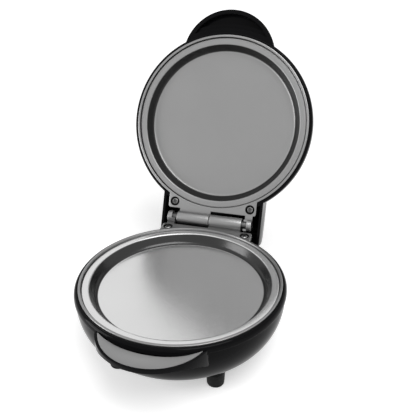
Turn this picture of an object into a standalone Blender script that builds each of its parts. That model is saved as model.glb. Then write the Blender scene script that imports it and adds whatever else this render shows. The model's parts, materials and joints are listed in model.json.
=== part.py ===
"""Round countertop sandwich maker: two dished plates in hinged housings, lid standing open.

The base is modelled about the centre of its silver ring's top plane, z up. The lid is modelled
the same way, about the centre of its own ring, z away from the food, and then hung on the hinge.
"""
import math

import bmesh
import bpy
from mathutils import Matrix, Vector

MM = 0.001

# Shared
SEAT_GAP = 0.3 * MM            # left between pieces that rest on each other
OVERRUN = 2.0 * MM             # how far a cut runs past the face it opens
ROUND_STEPS = 48               # sides of the large turned shapes
MIDDLE_STEPS = 20              # sides of knuckles, spouts and bosses
SMALL_STEPS = 16               # sides of bores and feet
SCREW_STEPS = 10               # sides of screws and their holes
SMOOTH_ANGLE = math.radians(32)
ROUND_SHARE = 0.5              # bevel shape of a circular round

# Whole object
BODY_RADIUS = 66.0 * MM        # widest, at the black collar
OPEN_ANGLE = math.radians(114.9)

# Cooking plate, cast aluminium
PLATE_DROP = 1.45 * MM         # rim band below the ring's top
WELL_DEPTH = 6.45 * MM
BAND_WIDTH = 4.45 * MM
WELL_SLOPE_WIDTH = 3.55 * MM
PLATE_RIM_THICK = 2.0 * MM
PLATE_THICK = 2.6 * MM
PLATE_FILLET = 0.9 * MM
PLATE_SKIRT_OUT = 1.8 * MM     # underside's upper corner beyond the well's top
PLATE_BACK_OUT = 2.5 * MM      # underside's lower corner beyond the well's floor
POST_RADIUS = 3.5 * MM
POST_GAP = 10.0 * MM           # between the thermostat's hole and a post
POST_COUNT = 3
POST_START_ANGLE = math.radians(30)

# Silver ring with its ear and hinge knuckles
RING_GAP = 0.5 * MM            # dark line between plate and ring
RING_WIDTH = 1.6 * MM
RING_ROUND = 0.4 * MM
LEDGE_THICK = 1.2 * MM
LEDGE_REACH = 2.1 * MM
EAR_HALF_WIDTH = 32.8 * MM
EAR_TO_AXIS = 6.4 * MM         # ear's back edge to the hinge axis
EAR_THICK = 2.5 * MM
EAR_CORNER = 2.0 * MM
EAR_SCREW_SIDE = 4.6 * MM      # in from the ear's side
EAR_SCREW_BACK = 4.8 * MM      # in from the ear's back edge

# Hinge
HINGE_OUT = 5.3 * MM           # axis beyond the body's side
HINGE_RISE = 2.2 * MM          # axis above the base ring's top plane
BARREL_RADIUS = 4.6 * MM
MIDDLE_GAP = 0.4 * MM          # between the two barrels
LUG_RADIUS = 4.2 * MM
LUG_LENGTH = 5.9 * MM
LUG_INSET = 1.8 * MM           # lug's end inside the ear's side
LUG_GAP = 1.2 * MM             # between a lug and the next barrel
LUG_NOTCH_LENGTH = 2.6 * MM
LUG_NOTCH_BASE = 1.0 * MM      # floor of the notch above the axis
HINGE_PIN_RADIUS = 2.5 * MM
HINGE_PIN_LENGTH = 16.0 * MM
KNUCKLE_SWING_GAP = 0.8 * MM   # air between a turning knuckle and the neck
LEAD_SLOT_LENGTH = 5.4 * MM
LEAD_SLOT_WIDTH = 3.8 * MM

# Tubular heater
HEATER_RADIUS = 2.8 * MM
HEATER_POST_GAP = 3.7 * MM
HEATER_GAP_ANGLE = math.radians(70)
HEATER_PIN_RADIUS = 1.1 * MM
HEATER_PIN_LENGTH = 6.0 * MM
HEATER_STEPS = 28
HEATER_SIDES = 8

# Reflector, pressed sheet
SHEET = 0.8 * MM
REFLECTOR_ROOM = 7.2 * MM          # from the heater out to the slope
REFLECTOR_EDGE_INSET = 0.8 * MM    # flange's edge inside the ring
REFLECTOR_FLANGE = 2.0 * MM
REFLECTOR_WAIST_STEP = 2.5 * MM
REFLECTOR_WAIST_DROP = 1.1 * MM    # waist below the plate's underside
REFLECTOR_STEPS = 36
WINDOW_HALF_WIDTH = 16.5 * MM      # opening for the heater's pins
WINDOW_DEPTH = 12.0 * MM

# Plate screws
SCREW_RADIUS = 1.5 * MM
SCREW_CLEARANCE = 0.3 * MM
PAN_HEAD_RADIUS = 2.7 * MM
PAN_HEAD_HEIGHT = 1.6 * MM
PAN_CROWN_SHARE = 0.7
SCREW_END_GAP = 0.5 * MM

# Ear screws
EAR_HEAD_RADIUS = 2.1 * MM
EAR_HEAD_HEIGHT = 1.3 * MM
EAR_CROWN_SHARE = 0.8
EAR_HEAD_SINK = 1.6 * MM
EAR_HEAD_ROOM = 2.8 * MM       # radius of the sunk seat round the head
EAR_SCREW_LENGTH = 7.6 * MM
CROSS_WIDTH = 0.7 * MM
CROSS_LENGTH = 2.6 * MM
CROSS_DEPTH = 0.8 * MM

# Collar, the black band round the base ring
COLLAR_GAP = 0.3 * MM
COLLAR_WIDTH = 2.4 * MM
COLLAR_TOP = 0.6 * MM          # below the ring's top plane
COLLAR_BOTTOM = 4.7 * MM
COLLAR_TONGUE = 0.7 * MM
COLLAR_TONGUE_LENGTH = 2.0 * MM
COLLAR_LEDGE_REACH = 2.0 * MM
COLLAR_SOFTEN = 0.3 * MM
RIM_CURVE_SHARES = ((0.3, 0.0), (0.67, 0.3), (0.92, 0.83))    # outward and down, of the band's width

# Bowl
BOWL_INSET = 0.7 * MM          # bowl's side inside the collar's
BOWL_TOP_SOFTEN = 0.1 * MM
BOWL_WALL = 2.2 * MM
BOWL_FLOOR_WALL = 2.4 * MM
BOWL_SIDE_END = 7.8 * MM       # below the ring's top plane, where the round begins
BOWL_ROUND_WIDTH = 18.6 * MM
BOWL_ROOM = 15.1 * MM          # between the reflector and the bowl's floor
BOWL_LIP_WALL = 0.7 * MM
BOWL_ROUND_POINTS = 8

# Neck, which carries the ear behind the bowl
NECK_MARGIN = 0.2 * MM         # neck wider than the ear, each side
NECK_TO_AXIS = 3.0 * MM        # neck's back face to the hinge axis
NECK_SEAT_GAP = 0.6 * MM
NECK_DEPTH = 9.0 * MM
NECK_BACK_DROP = 9.0 * MM
NECK_FOOT_INSET = 6.0 * MM
NECK_FOOT_DROP = 17.5 * MM
LEAD_HOLE_X = 8.0 * MM
LEAD_HOLE_RADIUS = 1.8 * MM

# Front lip, drawn to the lid handle's outline, and its silver scoop
LIP_RIM_DROP = 1.35 * MM       # rim's top at its front, below the ring's top plane
LIP_RIM_FALL = 1.8 * MM        # how much lower the rim's plane lies at the root
LIP_TIP_DROP = 3.6 * MM
LIP_ROOT_DROP = 13.6 * MM
LIP_COVE_SHARES = (                # outward and down, from the tip to the body's side
    (0.83, 0.05), (0.69, 0.12), (0.53, 0.25), (0.42, 0.38), (0.3, 0.52), (0.16, 0.73), (0.0, 1.0))
TRIM_INSET = 1.7 * MM          # black rim left round the scoop
TRIM_THICK = 0.6 * MM
TRIM_EDGE_DROP = 1.9 * MM
TRIM_DEPTH = 3.3 * MM
TRIM_DISH_SHARES = (               # outward and down, from the scoop's edge
    (1.0, 0.0), (0.95, 0.22), (0.87, 0.5), (0.75, 0.79), (0.62, 0.94), (0.5, 1.0))

# Feet
FRONT_FOOT_X = 31.0 * MM
FRONT_FOOT_INSET = 31.7 * MM   # in from the body's front
REAR_FOOT_X = 26.0 * MM
REAR_FOOT_INSET = 13.0 * MM    # in from the body's back
FOOT_TOP_RADIUS = 5.7 * MM
FOOT_BOTTOM_RADIUS = 5.3 * MM
FOOT_HEIGHT = 8.7 * MM
FOOT_EDGE = 1.0 * MM
FOOT_BOSS_RADIUS = 6.2 * MM
FOOT_BOSS_OUT = 3.0 * MM       # below the bowl's floor
FOOT_BOSS_HEIGHT = 18.0 * MM
FOOT_STEM_RADIUS = 2.0 * MM
FOOT_STEM_LENGTH = 4.5 * MM
FOOT_STEM_ROOM = 0.3 * MM

# Cord inlet at the back of the bowl
INLET_FLOOR_GAP = 8.0 * MM     # bore's middle above the bowl's underside
INLET_SPOUT_RADIUS = 7.0 * MM
INLET_SPOUT_INSET = 0.8 * MM
INLET_SPOUT_LENGTH = 14.5 * MM
BUSHING_RADIUS = 4.9 * MM
BUSHING_BORE = 3.6 * MM
BUSHING_FLANGE_RADIUS = 6.4 * MM
BUSHING_FLANGE_THICK = 1.6 * MM
BUSHING_LENGTH = 10.0 * MM

# Lid housing
LID_ROOM = 5.3 * MM            # between the reflector and the dome
LID_WALL = 2.2 * MM
LID_SIDE_END = 7.0 * MM
LID_DOME_POWER = 2.6
LID_DOME_POINTS = 8
LID_LEDGE_WIDTH = 1.6 * MM
LID_LEDGE_THICK = 1.6 * MM
HOOD_SIDE_ROOM = 2.3 * MM      # between the neck's side and the hood's cheek
HOOD_WALL = 2.0 * MM
HOOD_TO_AXIS = 15.9 * MM       # hinge axis to the hood's back
HOOD_TOP_STEP = 3.0 * MM       # hood's top below the dome's
HOOD_REAR_ROUND = 9.0 * MM
HOOD_START = 12.0 * MM
HOOD_CAVITY_START = 40.0 * MM
HOOD_EDGE_ROUND = 3.0 * MM
HOOD_EDGE_STEPS = 3
HOOD_ROUND_STEPS = 5
LID_BOSS_RADIUS = 3.6 * MM

# Lid handle
HANDLE_OUT = 15.4 * MM         # beyond the body's side
HANDLE_ARC_RADIUS = 33.8 * MM
HANDLE_ROOT = 2.0 * MM         # buried behind the arc's middle
HANDLE_BOTTOM = 1.0 * MM
HANDLE_THICK = 7.6 * MM
HANDLE_EDGE_ROUND = 2.2 * MM
HANDLE_EDGE_STEPS = 2
HANDLE_RIM = 3.0 * MM
HANDLE_SKIN = 3.0 * MM         # plastic left over the pocket
HANDLE_STEP_RISE = 2.2 * MM
HANDLE_ROOT_WALL = 2.2 * MM    # left between the body's side and the pocket
HANDLE_LEDGE_WIDTH = 3.3 * MM
HANDLE_STEPS = 20

# Thermostat under the lower plate
THERMOSTAT_RADIUS = 7.7 * MM
THERMOSTAT_HEIGHT = 8.0 * MM
THERMOSTAT_CAP_RADIUS = 6.2 * MM
THERMOSTAT_CAP_HEIGHT = 4.0 * MM
THERMOSTAT_HOLE_ROOM = 0.8 * MM
BLADE_LENGTH = 6.0 * MM
BLADE_WIDTH = 4.8 * MM
BLADE_THICK = 0.8 * MM
BLADE_SPREAD = 3.0 * MM

# Thermal fuse and terminal block in the bowl
FUSE_RADIUS = 2.0 * MM
FUSE_LENGTH = 12.0 * MM
FUSE_X = -20.0 * MM
FUSE_Y = -4.0 * MM
BLOCK_LENGTH = 24.0 * MM
BLOCK_WIDTH = 12.0 * MM
BLOCK_HEIGHT = 8.0 * MM
BLOCK_INSET = 10.7 * MM        # block's middle in from the flat floor's edge
BLOCK_BORE = 2.0 * MM
BLOCK_BORE_X = 6.0 * MM

# Leads
LEAD_RADIUS = 1.2 * MM
LEAD_STEPS = 3                 # points between two route points
LEAD_SIDES = 6

# Worked out from the sizes above
COLLAR_INNER = BODY_RADIUS - COLLAR_WIDTH
RING_OUTER = COLLAR_INNER - COLLAR_GAP
RING_INNER = RING_OUTER - RING_WIDTH
PLATE_RADIUS = RING_INNER - RING_GAP
WELL_TOP_RADIUS = PLATE_RADIUS - BAND_WIDTH
WELL_FLOOR_RADIUS = WELL_TOP_RADIUS - WELL_SLOPE_WIDTH
POST_CIRCLE_RADIUS = THERMOSTAT_RADIUS + THERMOSTAT_HOLE_ROOM + POST_GAP + POST_RADIUS
HEATER_CIRCLE_RADIUS = POST_CIRCLE_RADIUS + POST_RADIUS + HEATER_POST_GAP + HEATER_RADIUS
REFLECTOR_FLOOR_RADIUS = HEATER_CIRCLE_RADIUS + HEATER_RADIUS + REFLECTOR_ROOM
REFLECTOR_RADIUS = RING_INNER - REFLECTOR_EDGE_INSET
REFLECTOR_WALL_RADIUS = REFLECTOR_RADIUS - REFLECTOR_FLANGE
REFLECTOR_WAIST_RADIUS = REFLECTOR_WALL_RADIUS - REFLECTOR_WAIST_STEP
HINGE_REACH = BODY_RADIUS + HINGE_OUT
EAR_REACH = HINGE_REACH - EAR_TO_AXIS
EAR_SCREW_X = EAR_HALF_WIDTH - EAR_SCREW_SIDE
EAR_SCREW_Y = EAR_REACH - EAR_SCREW_BACK
BAND_Z = -PLATE_DROP
WELL_Z = BAND_Z - WELL_DEPTH
PLATE_BACK_Z = WELL_Z - PLATE_THICK
RIM_BACK_Z = BAND_Z - PLATE_RIM_THICK
LEDGE_Z = RIM_BACK_Z - SEAT_GAP
RING_BACK_Z = LEDGE_Z - LEDGE_THICK
HEATER_Z = PLATE_BACK_Z - SEAT_GAP - HEATER_RADIUS
REFLECTOR_Z = HEATER_Z - HEATER_RADIUS - SEAT_GAP
REFLECTOR_BACK_Z = REFLECTOR_Z - SHEET
POST_END_Z = REFLECTOR_Z + SEAT_GAP
KNUCKLE_BORE = HINGE_PIN_RADIUS + SEAT_GAP
LUG_END = EAR_HALF_WIDTH - LUG_INSET
LUG_START = LUG_END - LUG_LENGTH
BARREL_START = MIDDLE_GAP / 2
BARREL_END = LUG_START - LUG_GAP
SCREW_HOLE_RADIUS = SCREW_RADIUS + SCREW_CLEARANCE
COLLAR_SEAT_Z = RING_BACK_Z - SEAT_GAP
COLLAR_TONGUE_DROP = COLLAR_BOTTOM + COLLAR_TONGUE_LENGTH
BOWL_TOP_Z = -(COLLAR_BOTTOM + SEAT_GAP)
BOWL_SHELF = COLLAR_TONGUE_DROP + SEAT_GAP
BOWL_RADIUS = BODY_RADIUS - BOWL_INSET
BOWL_FLOOR_RADIUS = BOWL_RADIUS - BOWL_ROUND_WIDTH
BOWL_DEPTH = BOWL_ROOM + BOWL_FLOOR_WALL - REFLECTOR_BACK_Z
BOWL_INSIDE_Z = BOWL_FLOOR_WALL - BOWL_DEPTH
NECK_HALF_WIDTH = EAR_HALF_WIDTH + NECK_MARGIN
NECK_TOP_Z = -(EAR_THICK + SEAT_GAP)
NECK_REACH = HINGE_REACH - NECK_TO_AXIS
NECK_SEAT_RADIUS = RING_OUTER + NECK_SEAT_GAP
NECK_FOOT_REACH = BODY_RADIUS - NECK_FOOT_INSET
FOOT_BOSS_DROP = BOWL_DEPTH + FOOT_BOSS_OUT
FOOT_TOP_Z = -(FOOT_BOSS_DROP + SEAT_GAP)
TABLE_Z = FOOT_TOP_Z - FOOT_HEIGHT
INLET_DROP = BOWL_DEPTH - INLET_FLOOR_GAP
INLET_SPOUT_REACH = BOWL_RADIUS - INLET_SPOUT_INSET
INLET_SPOUT_START = INLET_SPOUT_REACH - INLET_SPOUT_LENGTH
LID_HEIGHT = LID_ROOM + LID_WALL - REFLECTOR_BACK_Z
LID_LEDGE_RADIUS = BODY_RADIUS - LID_WALL - LID_LEDGE_WIDTH
HOOD_HALF_WIDTH = NECK_HALF_WIDTH + HOOD_SIDE_ROOM + HOOD_WALL
HOOD_REACH = HINGE_REACH + HOOD_TO_AXIS
HOOD_HEIGHT = LID_HEIGHT - HOOD_TOP_STEP
HANDLE_REACH = BODY_RADIUS + HANDLE_OUT
HANDLE_CENTRE_Y = HANDLE_ARC_RADIUS - HANDLE_REACH
HANDLE_TOP = HANDLE_BOTTOM + HANDLE_THICK
HANDLE_STEP_TOP = HANDLE_BOTTOM + HANDLE_STEP_RISE
HANDLE_STEP_RADIUS = BODY_RADIUS + HANDLE_ROOT_WALL
HANDLE_LEDGE_RADIUS = HANDLE_STEP_RADIUS + HANDLE_LEDGE_WIDTH
TRIM_RADIUS = HANDLE_ARC_RADIUS - TRIM_INSET
BLOCK_Y = BOWL_FLOOR_RADIUS - BLOCK_INSET
BLOCK_LOW_Z = BOWL_INSIDE_Z + SEAT_GAP
BLOCK_TOP_Z = BLOCK_LOW_Z + BLOCK_HEIGHT
FUSE_Z = REFLECTOR_BACK_Z - SEAT_GAP - FUSE_RADIUS
BLADE_END_Z = PLATE_BACK_Z - SEAT_GAP - THERMOSTAT_HEIGHT - BLADE_LENGTH


def material(name, colour, roughness, metallic=0.0):
    """One finish, as a Principled BSDF."""
    made = bpy.data.materials.new(name)
    made.use_nodes = True
    shader = made.node_tree.nodes["Principled BSDF"]
    shader.inputs["Base Color"].default_value = (*colour, 1.0)
    shader.inputs["Roughness"].default_value = roughness
    shader.inputs["Metallic"].default_value = metallic
    return made


def clear_scene():
    for item in list(bpy.data.objects):
        bpy.data.objects.remove(item, do_unlink=True)


def mesh_object(name, shape, parent=None):
    """Turns a finished bmesh into an object with outward faces."""
    bmesh.ops.recalc_face_normals(shape, faces=shape.faces)
    mesh = bpy.data.meshes.new(name)
    shape.to_mesh(mesh)
    shape.free()
    item = bpy.data.objects.new(name, mesh)
    bpy.context.scene.collection.objects.link(item)
    item.parent = parent
    return item


def finish(item, finish_material, parent=None):
    """Gives a finished piece its name's mesh, finish, parent and shading."""
    item.parent = parent
    item.data.name = item.name
    item.data.materials.clear()
    item.data.materials.append(finish_material)
    item.data.shade_smooth()
    item.data.set_sharp_from_angle(angle=SMOOTH_ANGLE)
    return item


def combine(item, operation, others):
    """Applies one boolean after another and throws the tools away."""
    for other in others:
        other.hide_render = True
        other.display_type = "WIRE"
        step = item.modifiers.new(operation.lower(), "BOOLEAN")
        step.operation = operation
        step.solver = "EXACT"
        step.object = other
        bpy.context.view_layer.update()
        whole = item.evaluated_get(bpy.context.evaluated_depsgraph_get())
        mesh = bpy.data.meshes.new_from_object(whole)
        item.modifiers.clear()
        item.data = mesh
        bpy.data.objects.remove(other, do_unlink=True)
    return item


def cut(item, *tools):
    return combine(item, "DIFFERENCE", tools)


def fuse(item, *others):
    return combine(item, "UNION", others)


def keep_common(item, *others):
    return combine(item, "INTERSECT", others)


def turned(name, outline, steps=ROUND_STEPS, centre=(0, 0), axis="Z"):
    """Closed outline of (radius, height) points, turned round an axis."""
    shape = bmesh.new()
    rings = []
    for radius, height in outline:
        if radius == 0:
            rings.append([shape.verts.new((0, 0, height))])
            continue
        angles = [2 * math.pi * i / steps for i in range(steps)]
        rings.append([shape.verts.new((radius * math.cos(a), radius * math.sin(a), height)) for a in angles])
    for one, two in zip(rings, rings[1:] + rings[:1]):
        for i in range(steps):
            corners = [one[i % len(one)], one[(i + 1) % len(one)], two[(i + 1) % len(two)], two[i % len(two)]]
            corners = list(dict.fromkeys(corners))
            if len(corners) > 2:
                shape.faces.new(corners)
    quarter = math.pi / 2
    turn = {"Z": Matrix(), "X": Matrix.Rotation(quarter, 4, "Y"), "Y": Matrix.Rotation(-quarter, 4, "X")}[axis]
    bmesh.ops.transform(shape, matrix=turn, verts=shape.verts)
    one, two = centre
    shift = {"Z": (one, two, 0), "X": (0, one, two), "Y": (one, 0, two)}[axis]
    bmesh.ops.translate(shape, vec=shift, verts=shape.verts)
    return mesh_object(name, shape)


def rod(name, radius, start, end, steps=SMALL_STEPS, centre=(0, 0), axis="Z"):
    """Plain round bar from start to end along an axis."""
    return turned(name, [(0, start), (radius, start), (radius, end), (0, end)], steps, centre, axis)


def prism(name, outline, start, end, axis="Z"):
    """Closed outline pushed from start to end along Z, or along X for (y, z) points."""
    shape = bmesh.new()
    places = {"Z": lambda p, h: (p[0], p[1], h), "X": lambda p, h: (h, p[0], p[1])}[axis]
    low = [shape.verts.new(places(point, start)) for point in outline]
    high = [shape.verts.new(places(point, end)) for point in outline]
    shape.faces.new(low)
    shape.faces.new(high)
    for i in range(len(outline)):
        j = (i + 1) % len(outline)
        shape.faces.new([low[i], low[j], high[j], high[i]])
    return mesh_object(name, shape)


def block(name, low, high):
    """Box between two corners."""
    outline = [(low[0], low[1]), (high[0], low[1]), (high[0], high[1]), (low[0], high[1])]
    return prism(name, outline, low[2], high[2])


def arc(centre, radius, start, end, steps):
    """Points along an arc, both ends included."""
    angles = [start + (end - start) * i / steps for i in range(steps + 1)]
    return [(centre[0] + radius * math.cos(a), centre[1] + radius * math.sin(a)) for a in angles]


def smooth_route(points, steps=LEAD_STEPS):
    """Catmull-Rom curve through route points."""
    points = [Vector(p) for p in points]
    padded = [2 * points[0] - points[1]] + points + [2 * points[-1] - points[-2]]
    route = []
    for a, b, c, d in zip(padded, padded[1:], padded[2:], padded[3:]):
        for i in range(steps):
            t = i / steps
            bend = (2 * a - 5 * b + 4 * c - d) * t ** 2 + (3 * b - a - 3 * c + d) * t ** 3
            route.append((2 * b + (c - a) * t + bend) / 2)
    return route + [points[-1]]


def swept(name, route, radius, sides):
    """Round bar along a list of points, with flat ends."""
    shape = bmesh.new()
    route = [Vector(point) for point in route]
    ways = [(after - before).normalized() for before, after in zip(route, route[1:])]
    ways = [ways[0]] + [(one + two).normalized() for one, two in zip(ways, ways[1:])] + [ways[-1]]
    side = ways[0].orthogonal().normalized()
    rings = []
    for point, way in zip(route, ways):
        side = (side - way * side.dot(way)).normalized()
        other = way.cross(side)
        turns = [2 * math.pi * i / sides for i in range(sides)]
        offsets = [radius * (side * math.cos(t) + other * math.sin(t)) for t in turns]
        rings.append([shape.verts.new(point + offset) for offset in offsets])
    for one, two in zip(rings, rings[1:]):
        for i in range(sides):
            j = (i + 1) % sides
            shape.faces.new([one[i], one[j], two[j], two[i]])
    shape.faces.new(rings[0])
    shape.faces.new(rings[-1])
    return mesh_object(name, shape)


def quarter_round(inner_radius, outer_radius, side_z, floor_z, points):
    """Quarter ellipse from a side wall down to a floor, as (radius, height) points."""
    turns = [math.pi / 2 * i / points for i in range(points + 1)]
    span = outer_radius - inner_radius
    return [(inner_radius + span * math.cos(t), side_z + (floor_z - side_z) * math.sin(t)) for t in turns]


def post_places():
    turns = [POST_START_ANGLE + 2 * math.pi * i / POST_COUNT for i in range(POST_COUNT)]
    return [(POST_CIRCLE_RADIUS * math.cos(t), POST_CIRCLE_RADIUS * math.sin(t)) for t in turns]


def cooking_plate(name):
    """Shallow dish with a flat rim band and three blind posts behind it."""
    skirt_radius = WELL_TOP_RADIUS + PLATE_SKIRT_OUT
    back_radius = WELL_FLOOR_RADIUS + PLATE_BACK_OUT
    outline = [
        (0, WELL_Z), (WELL_FLOOR_RADIUS - PLATE_FILLET, WELL_Z),
        (WELL_FLOOR_RADIUS, WELL_Z + PLATE_FILLET / 3),
        (WELL_TOP_RADIUS - PLATE_FILLET / 3, BAND_Z - PLATE_FILLET / 3),
        (WELL_TOP_RADIUS + PLATE_FILLET / 2, BAND_Z),
        (PLATE_RADIUS - PLATE_FILLET / 2, BAND_Z), (PLATE_RADIUS, BAND_Z - PLATE_FILLET / 2),
        (PLATE_RADIUS, RIM_BACK_Z), (skirt_radius, RIM_BACK_Z), (back_radius, PLATE_BACK_Z),
        (0, PLATE_BACK_Z)]
    plate = turned(name, outline)
    for place in post_places():
        fuse(plate, rod("post", POST_RADIUS, POST_END_Z, PLATE_BACK_Z + PLATE_THICK / 2, SCREW_STEPS, place))
        low, top = POST_END_Z - OVERRUN, PLATE_BACK_Z - SEAT_GAP
        cut(plate, rod("bore", SCREW_HOLE_RADIUS, low, top, SCREW_STEPS, place))
    return plate


def knuckle(radius, start, end):
    """One hinge knuckle with the tongue that ties it to the ear."""
    roll = rod("roll", radius, start, end, MIDDLE_STEPS, (HINGE_REACH, HINGE_RISE), "X")
    tongue_end = HINGE_REACH - HINGE_PIN_RADIUS / 2
    tongue = block("tongue", (start, EAR_REACH - EAR_THICK, -EAR_THICK), (end, tongue_end, 0))
    return fuse(roll, tongue)


def ear_outline():
    """Flat ear behind the ring, with rounded back corners."""
    middle = (RING_INNER + RING_OUTER) / 2
    reach = math.acos(EAR_HALF_WIDTH / middle)
    front = arc((0, 0), middle, reach, math.pi - reach, ROUND_STEPS // 4)
    left = arc((-EAR_HALF_WIDTH + EAR_CORNER, EAR_REACH - EAR_CORNER), EAR_CORNER, math.pi, math.pi / 2, 3)
    right = arc((EAR_HALF_WIDTH - EAR_CORNER, EAR_REACH - EAR_CORNER), EAR_CORNER, math.pi / 2, 0, 3)
    return front + left + right


def hinge_frame(name):
    """Silver ring with the ledge that carries the plate, its ear, one long barrel and one lug."""
    outline = [
        (RING_INNER, -RING_ROUND), (RING_INNER + RING_ROUND, 0), (RING_OUTER - RING_ROUND, 0),
        (RING_OUTER, -RING_ROUND), (RING_OUTER, RING_BACK_Z), (RING_INNER - LEDGE_REACH, RING_BACK_Z),
        (RING_INNER - LEDGE_REACH, LEDGE_Z), (RING_INNER, LEDGE_Z)]
    frame = turned(name, outline)
    fuse(frame, prism("ear", ear_outline(), -EAR_THICK, 0))
    fuse(frame, knuckle(BARREL_RADIUS, BARREL_START, BARREL_END))
    fuse(frame, knuckle(LUG_RADIUS, -LUG_END, -LUG_START))
    axis = (HINGE_REACH, HINGE_RISE)
    cut(frame, rod("bore", KNUCKLE_BORE, -LUG_END - OVERRUN, LUG_END + OVERRUN, SMALL_STEPS, axis, "X"))
    notch_y = HINGE_REACH - BARREL_RADIUS - OVERRUN
    notch_low = (-LUG_START - LUG_NOTCH_LENGTH, notch_y, HINGE_RISE + LUG_NOTCH_BASE)
    notch_high = (-LUG_START + LUG_GAP / 2, HINGE_REACH + BARREL_RADIUS + OVERRUN, HINGE_RISE + BARREL_RADIUS)
    cut(frame, block("notch", notch_low, notch_high))
    slot_low = (LEAD_HOLE_X - LEAD_SLOT_LENGTH / 2, HINGE_REACH - LEAD_SLOT_WIDTH / 2, -EAR_THICK - OVERRUN)
    slot_high = (LEAD_HOLE_X + LEAD_SLOT_LENGTH / 2, HINGE_REACH + LEAD_SLOT_WIDTH / 2, HINGE_RISE)
    cut(frame, block("slot", slot_low, slot_high))
    for side in (-1, 1):
        place = (side * EAR_SCREW_X, EAR_SCREW_Y)
        low = -EAR_THICK - OVERRUN
        seat = [(0, low), (SCREW_HOLE_RADIUS, low), (SCREW_HOLE_RADIUS, -EAR_HEAD_SINK),
                (EAR_HEAD_ROOM, -EAR_HEAD_SINK), (EAR_HEAD_ROOM, OVERRUN), (0, OVERRUN)]
        cut(frame, turned("seat", seat, SMALL_STEPS, place))
    return frame


def heater(name):
    """Horseshoe tube with a cold pin at each end of its gap."""
    half = HEATER_GAP_ANGLE / 2
    start = math.pi / 2 + half
    sweep = 2 * math.pi - HEATER_GAP_ANGLE
    circle = arc((0, 0), HEATER_CIRCLE_RADIUS, start, start + sweep, HEATER_STEPS)
    tube = swept(name, [(x, y, HEATER_Z) for x, y in circle], HEATER_RADIUS, HEATER_SIDES)
    for side in (-1, 1):
        tip = heater_pin_end(side)
        way = Vector((-side * math.cos(half), math.sin(half), 0))
        root = tip - way * (HEATER_PIN_LENGTH + HEATER_RADIUS)
        fuse(tube, swept("pin", [root, tip], HEATER_PIN_RADIUS, LEAD_SIDES))
    return tube


def heater_pin_end(side):
    """Tip of a heater's cold pin."""
    along = HEATER_PIN_LENGTH
    half = HEATER_GAP_ANGLE / 2
    return Vector((side * (HEATER_CIRCLE_RADIUS * math.sin(half) - along * math.cos(half)),
                   HEATER_CIRCLE_RADIUS * math.cos(half) + along * math.sin(half), HEATER_Z))


def reflector(name, has_thermostat):
    """Pressed sheet dish that closes the heater in and clamps the ring's ledge."""
    waist_z = PLATE_BACK_Z - REFLECTOR_WAIST_DROP
    top_z = COLLAR_SEAT_Z
    outline = [
        (0, REFLECTOR_Z), (REFLECTOR_FLOOR_RADIUS, REFLECTOR_Z), (REFLECTOR_WAIST_RADIUS, waist_z),
        (REFLECTOR_WALL_RADIUS, top_z), (REFLECTOR_RADIUS, top_z), (REFLECTOR_RADIUS, top_z - SHEET),
        (REFLECTOR_WALL_RADIUS + SHEET, top_z - SHEET), (REFLECTOR_WAIST_RADIUS + SHEET, waist_z - SHEET),
        (REFLECTOR_FLOOR_RADIUS, REFLECTOR_BACK_Z), (0, REFLECTOR_BACK_Z)]
    dish = turned(name, outline, REFLECTOR_STEPS)
    top = REFLECTOR_Z + OVERRUN
    bottom = REFLECTOR_BACK_Z - OVERRUN
    for place in post_places():
        cut(dish, rod("hole", SCREW_HOLE_RADIUS, bottom, top, SCREW_STEPS, place))
    window_y = heater_pin_end(1).y - WINDOW_DEPTH / 2
    window_low = (-WINDOW_HALF_WIDTH, window_y, bottom)
    cut(dish, block("window", window_low, (WINDOW_HALF_WIDTH, window_y + WINDOW_DEPTH, top)))
    if has_thermostat:
        cut(dish, rod("hole", THERMOSTAT_RADIUS + THERMOSTAT_HOLE_ROOM, bottom, top, MIDDLE_STEPS))
    return dish


def plate_screw(name, place):
    """Pan head screw that comes up through the reflector into a post."""
    head_z = REFLECTOR_BACK_Z - SEAT_GAP
    end_z = PLATE_BACK_Z - SEAT_GAP - SCREW_END_GAP
    outline = [
        (0, head_z - PAN_HEAD_HEIGHT), (PAN_HEAD_RADIUS * PAN_CROWN_SHARE, head_z - PAN_HEAD_HEIGHT),
        (PAN_HEAD_RADIUS, head_z - PAN_HEAD_HEIGHT / 2), (PAN_HEAD_RADIUS, head_z), (SCREW_RADIUS, head_z),
        (SCREW_RADIUS, end_z), (0, end_z)]
    return turned(name, outline, SCREW_STEPS, place)


def ear_screw(name, place):
    """Cross-slotted screw sunk in the ear."""
    seat_z = -EAR_HEAD_SINK + SEAT_GAP
    top_z = seat_z + EAR_HEAD_HEIGHT
    outline = [
        (0, top_z), (EAR_HEAD_RADIUS * EAR_CROWN_SHARE, top_z),
        (EAR_HEAD_RADIUS, top_z - EAR_HEAD_HEIGHT / 3),
        (EAR_HEAD_RADIUS, seat_z), (SCREW_RADIUS, seat_z), (SCREW_RADIUS, seat_z - EAR_SCREW_LENGTH),
        (0, seat_z - EAR_SCREW_LENGTH)]
    screw = turned(name, outline, SCREW_STEPS + 2, place)
    arms = []
    for along, across in ((CROSS_LENGTH / 2, CROSS_WIDTH / 2), (CROSS_WIDTH / 2, CROSS_LENGTH / 2)):
        low = (place[0] - along, place[1] - across, top_z - CROSS_DEPTH)
        arms.append(block("slot", low, (place[0] + along, place[1] + across, top_z + OVERRUN)))
    return cut(screw, fuse(*arms))


def stub_pin(name, side):
    """Pin that joins a lug to the next barrel."""
    inner = LUG_END - HINGE_PIN_LENGTH
    low, high = sorted((side * inner, side * LUG_END))
    return rod(name, HINGE_PIN_RADIUS, low, high, SMALL_STEPS, (HINGE_REACH, HINGE_RISE), "X")


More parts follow.
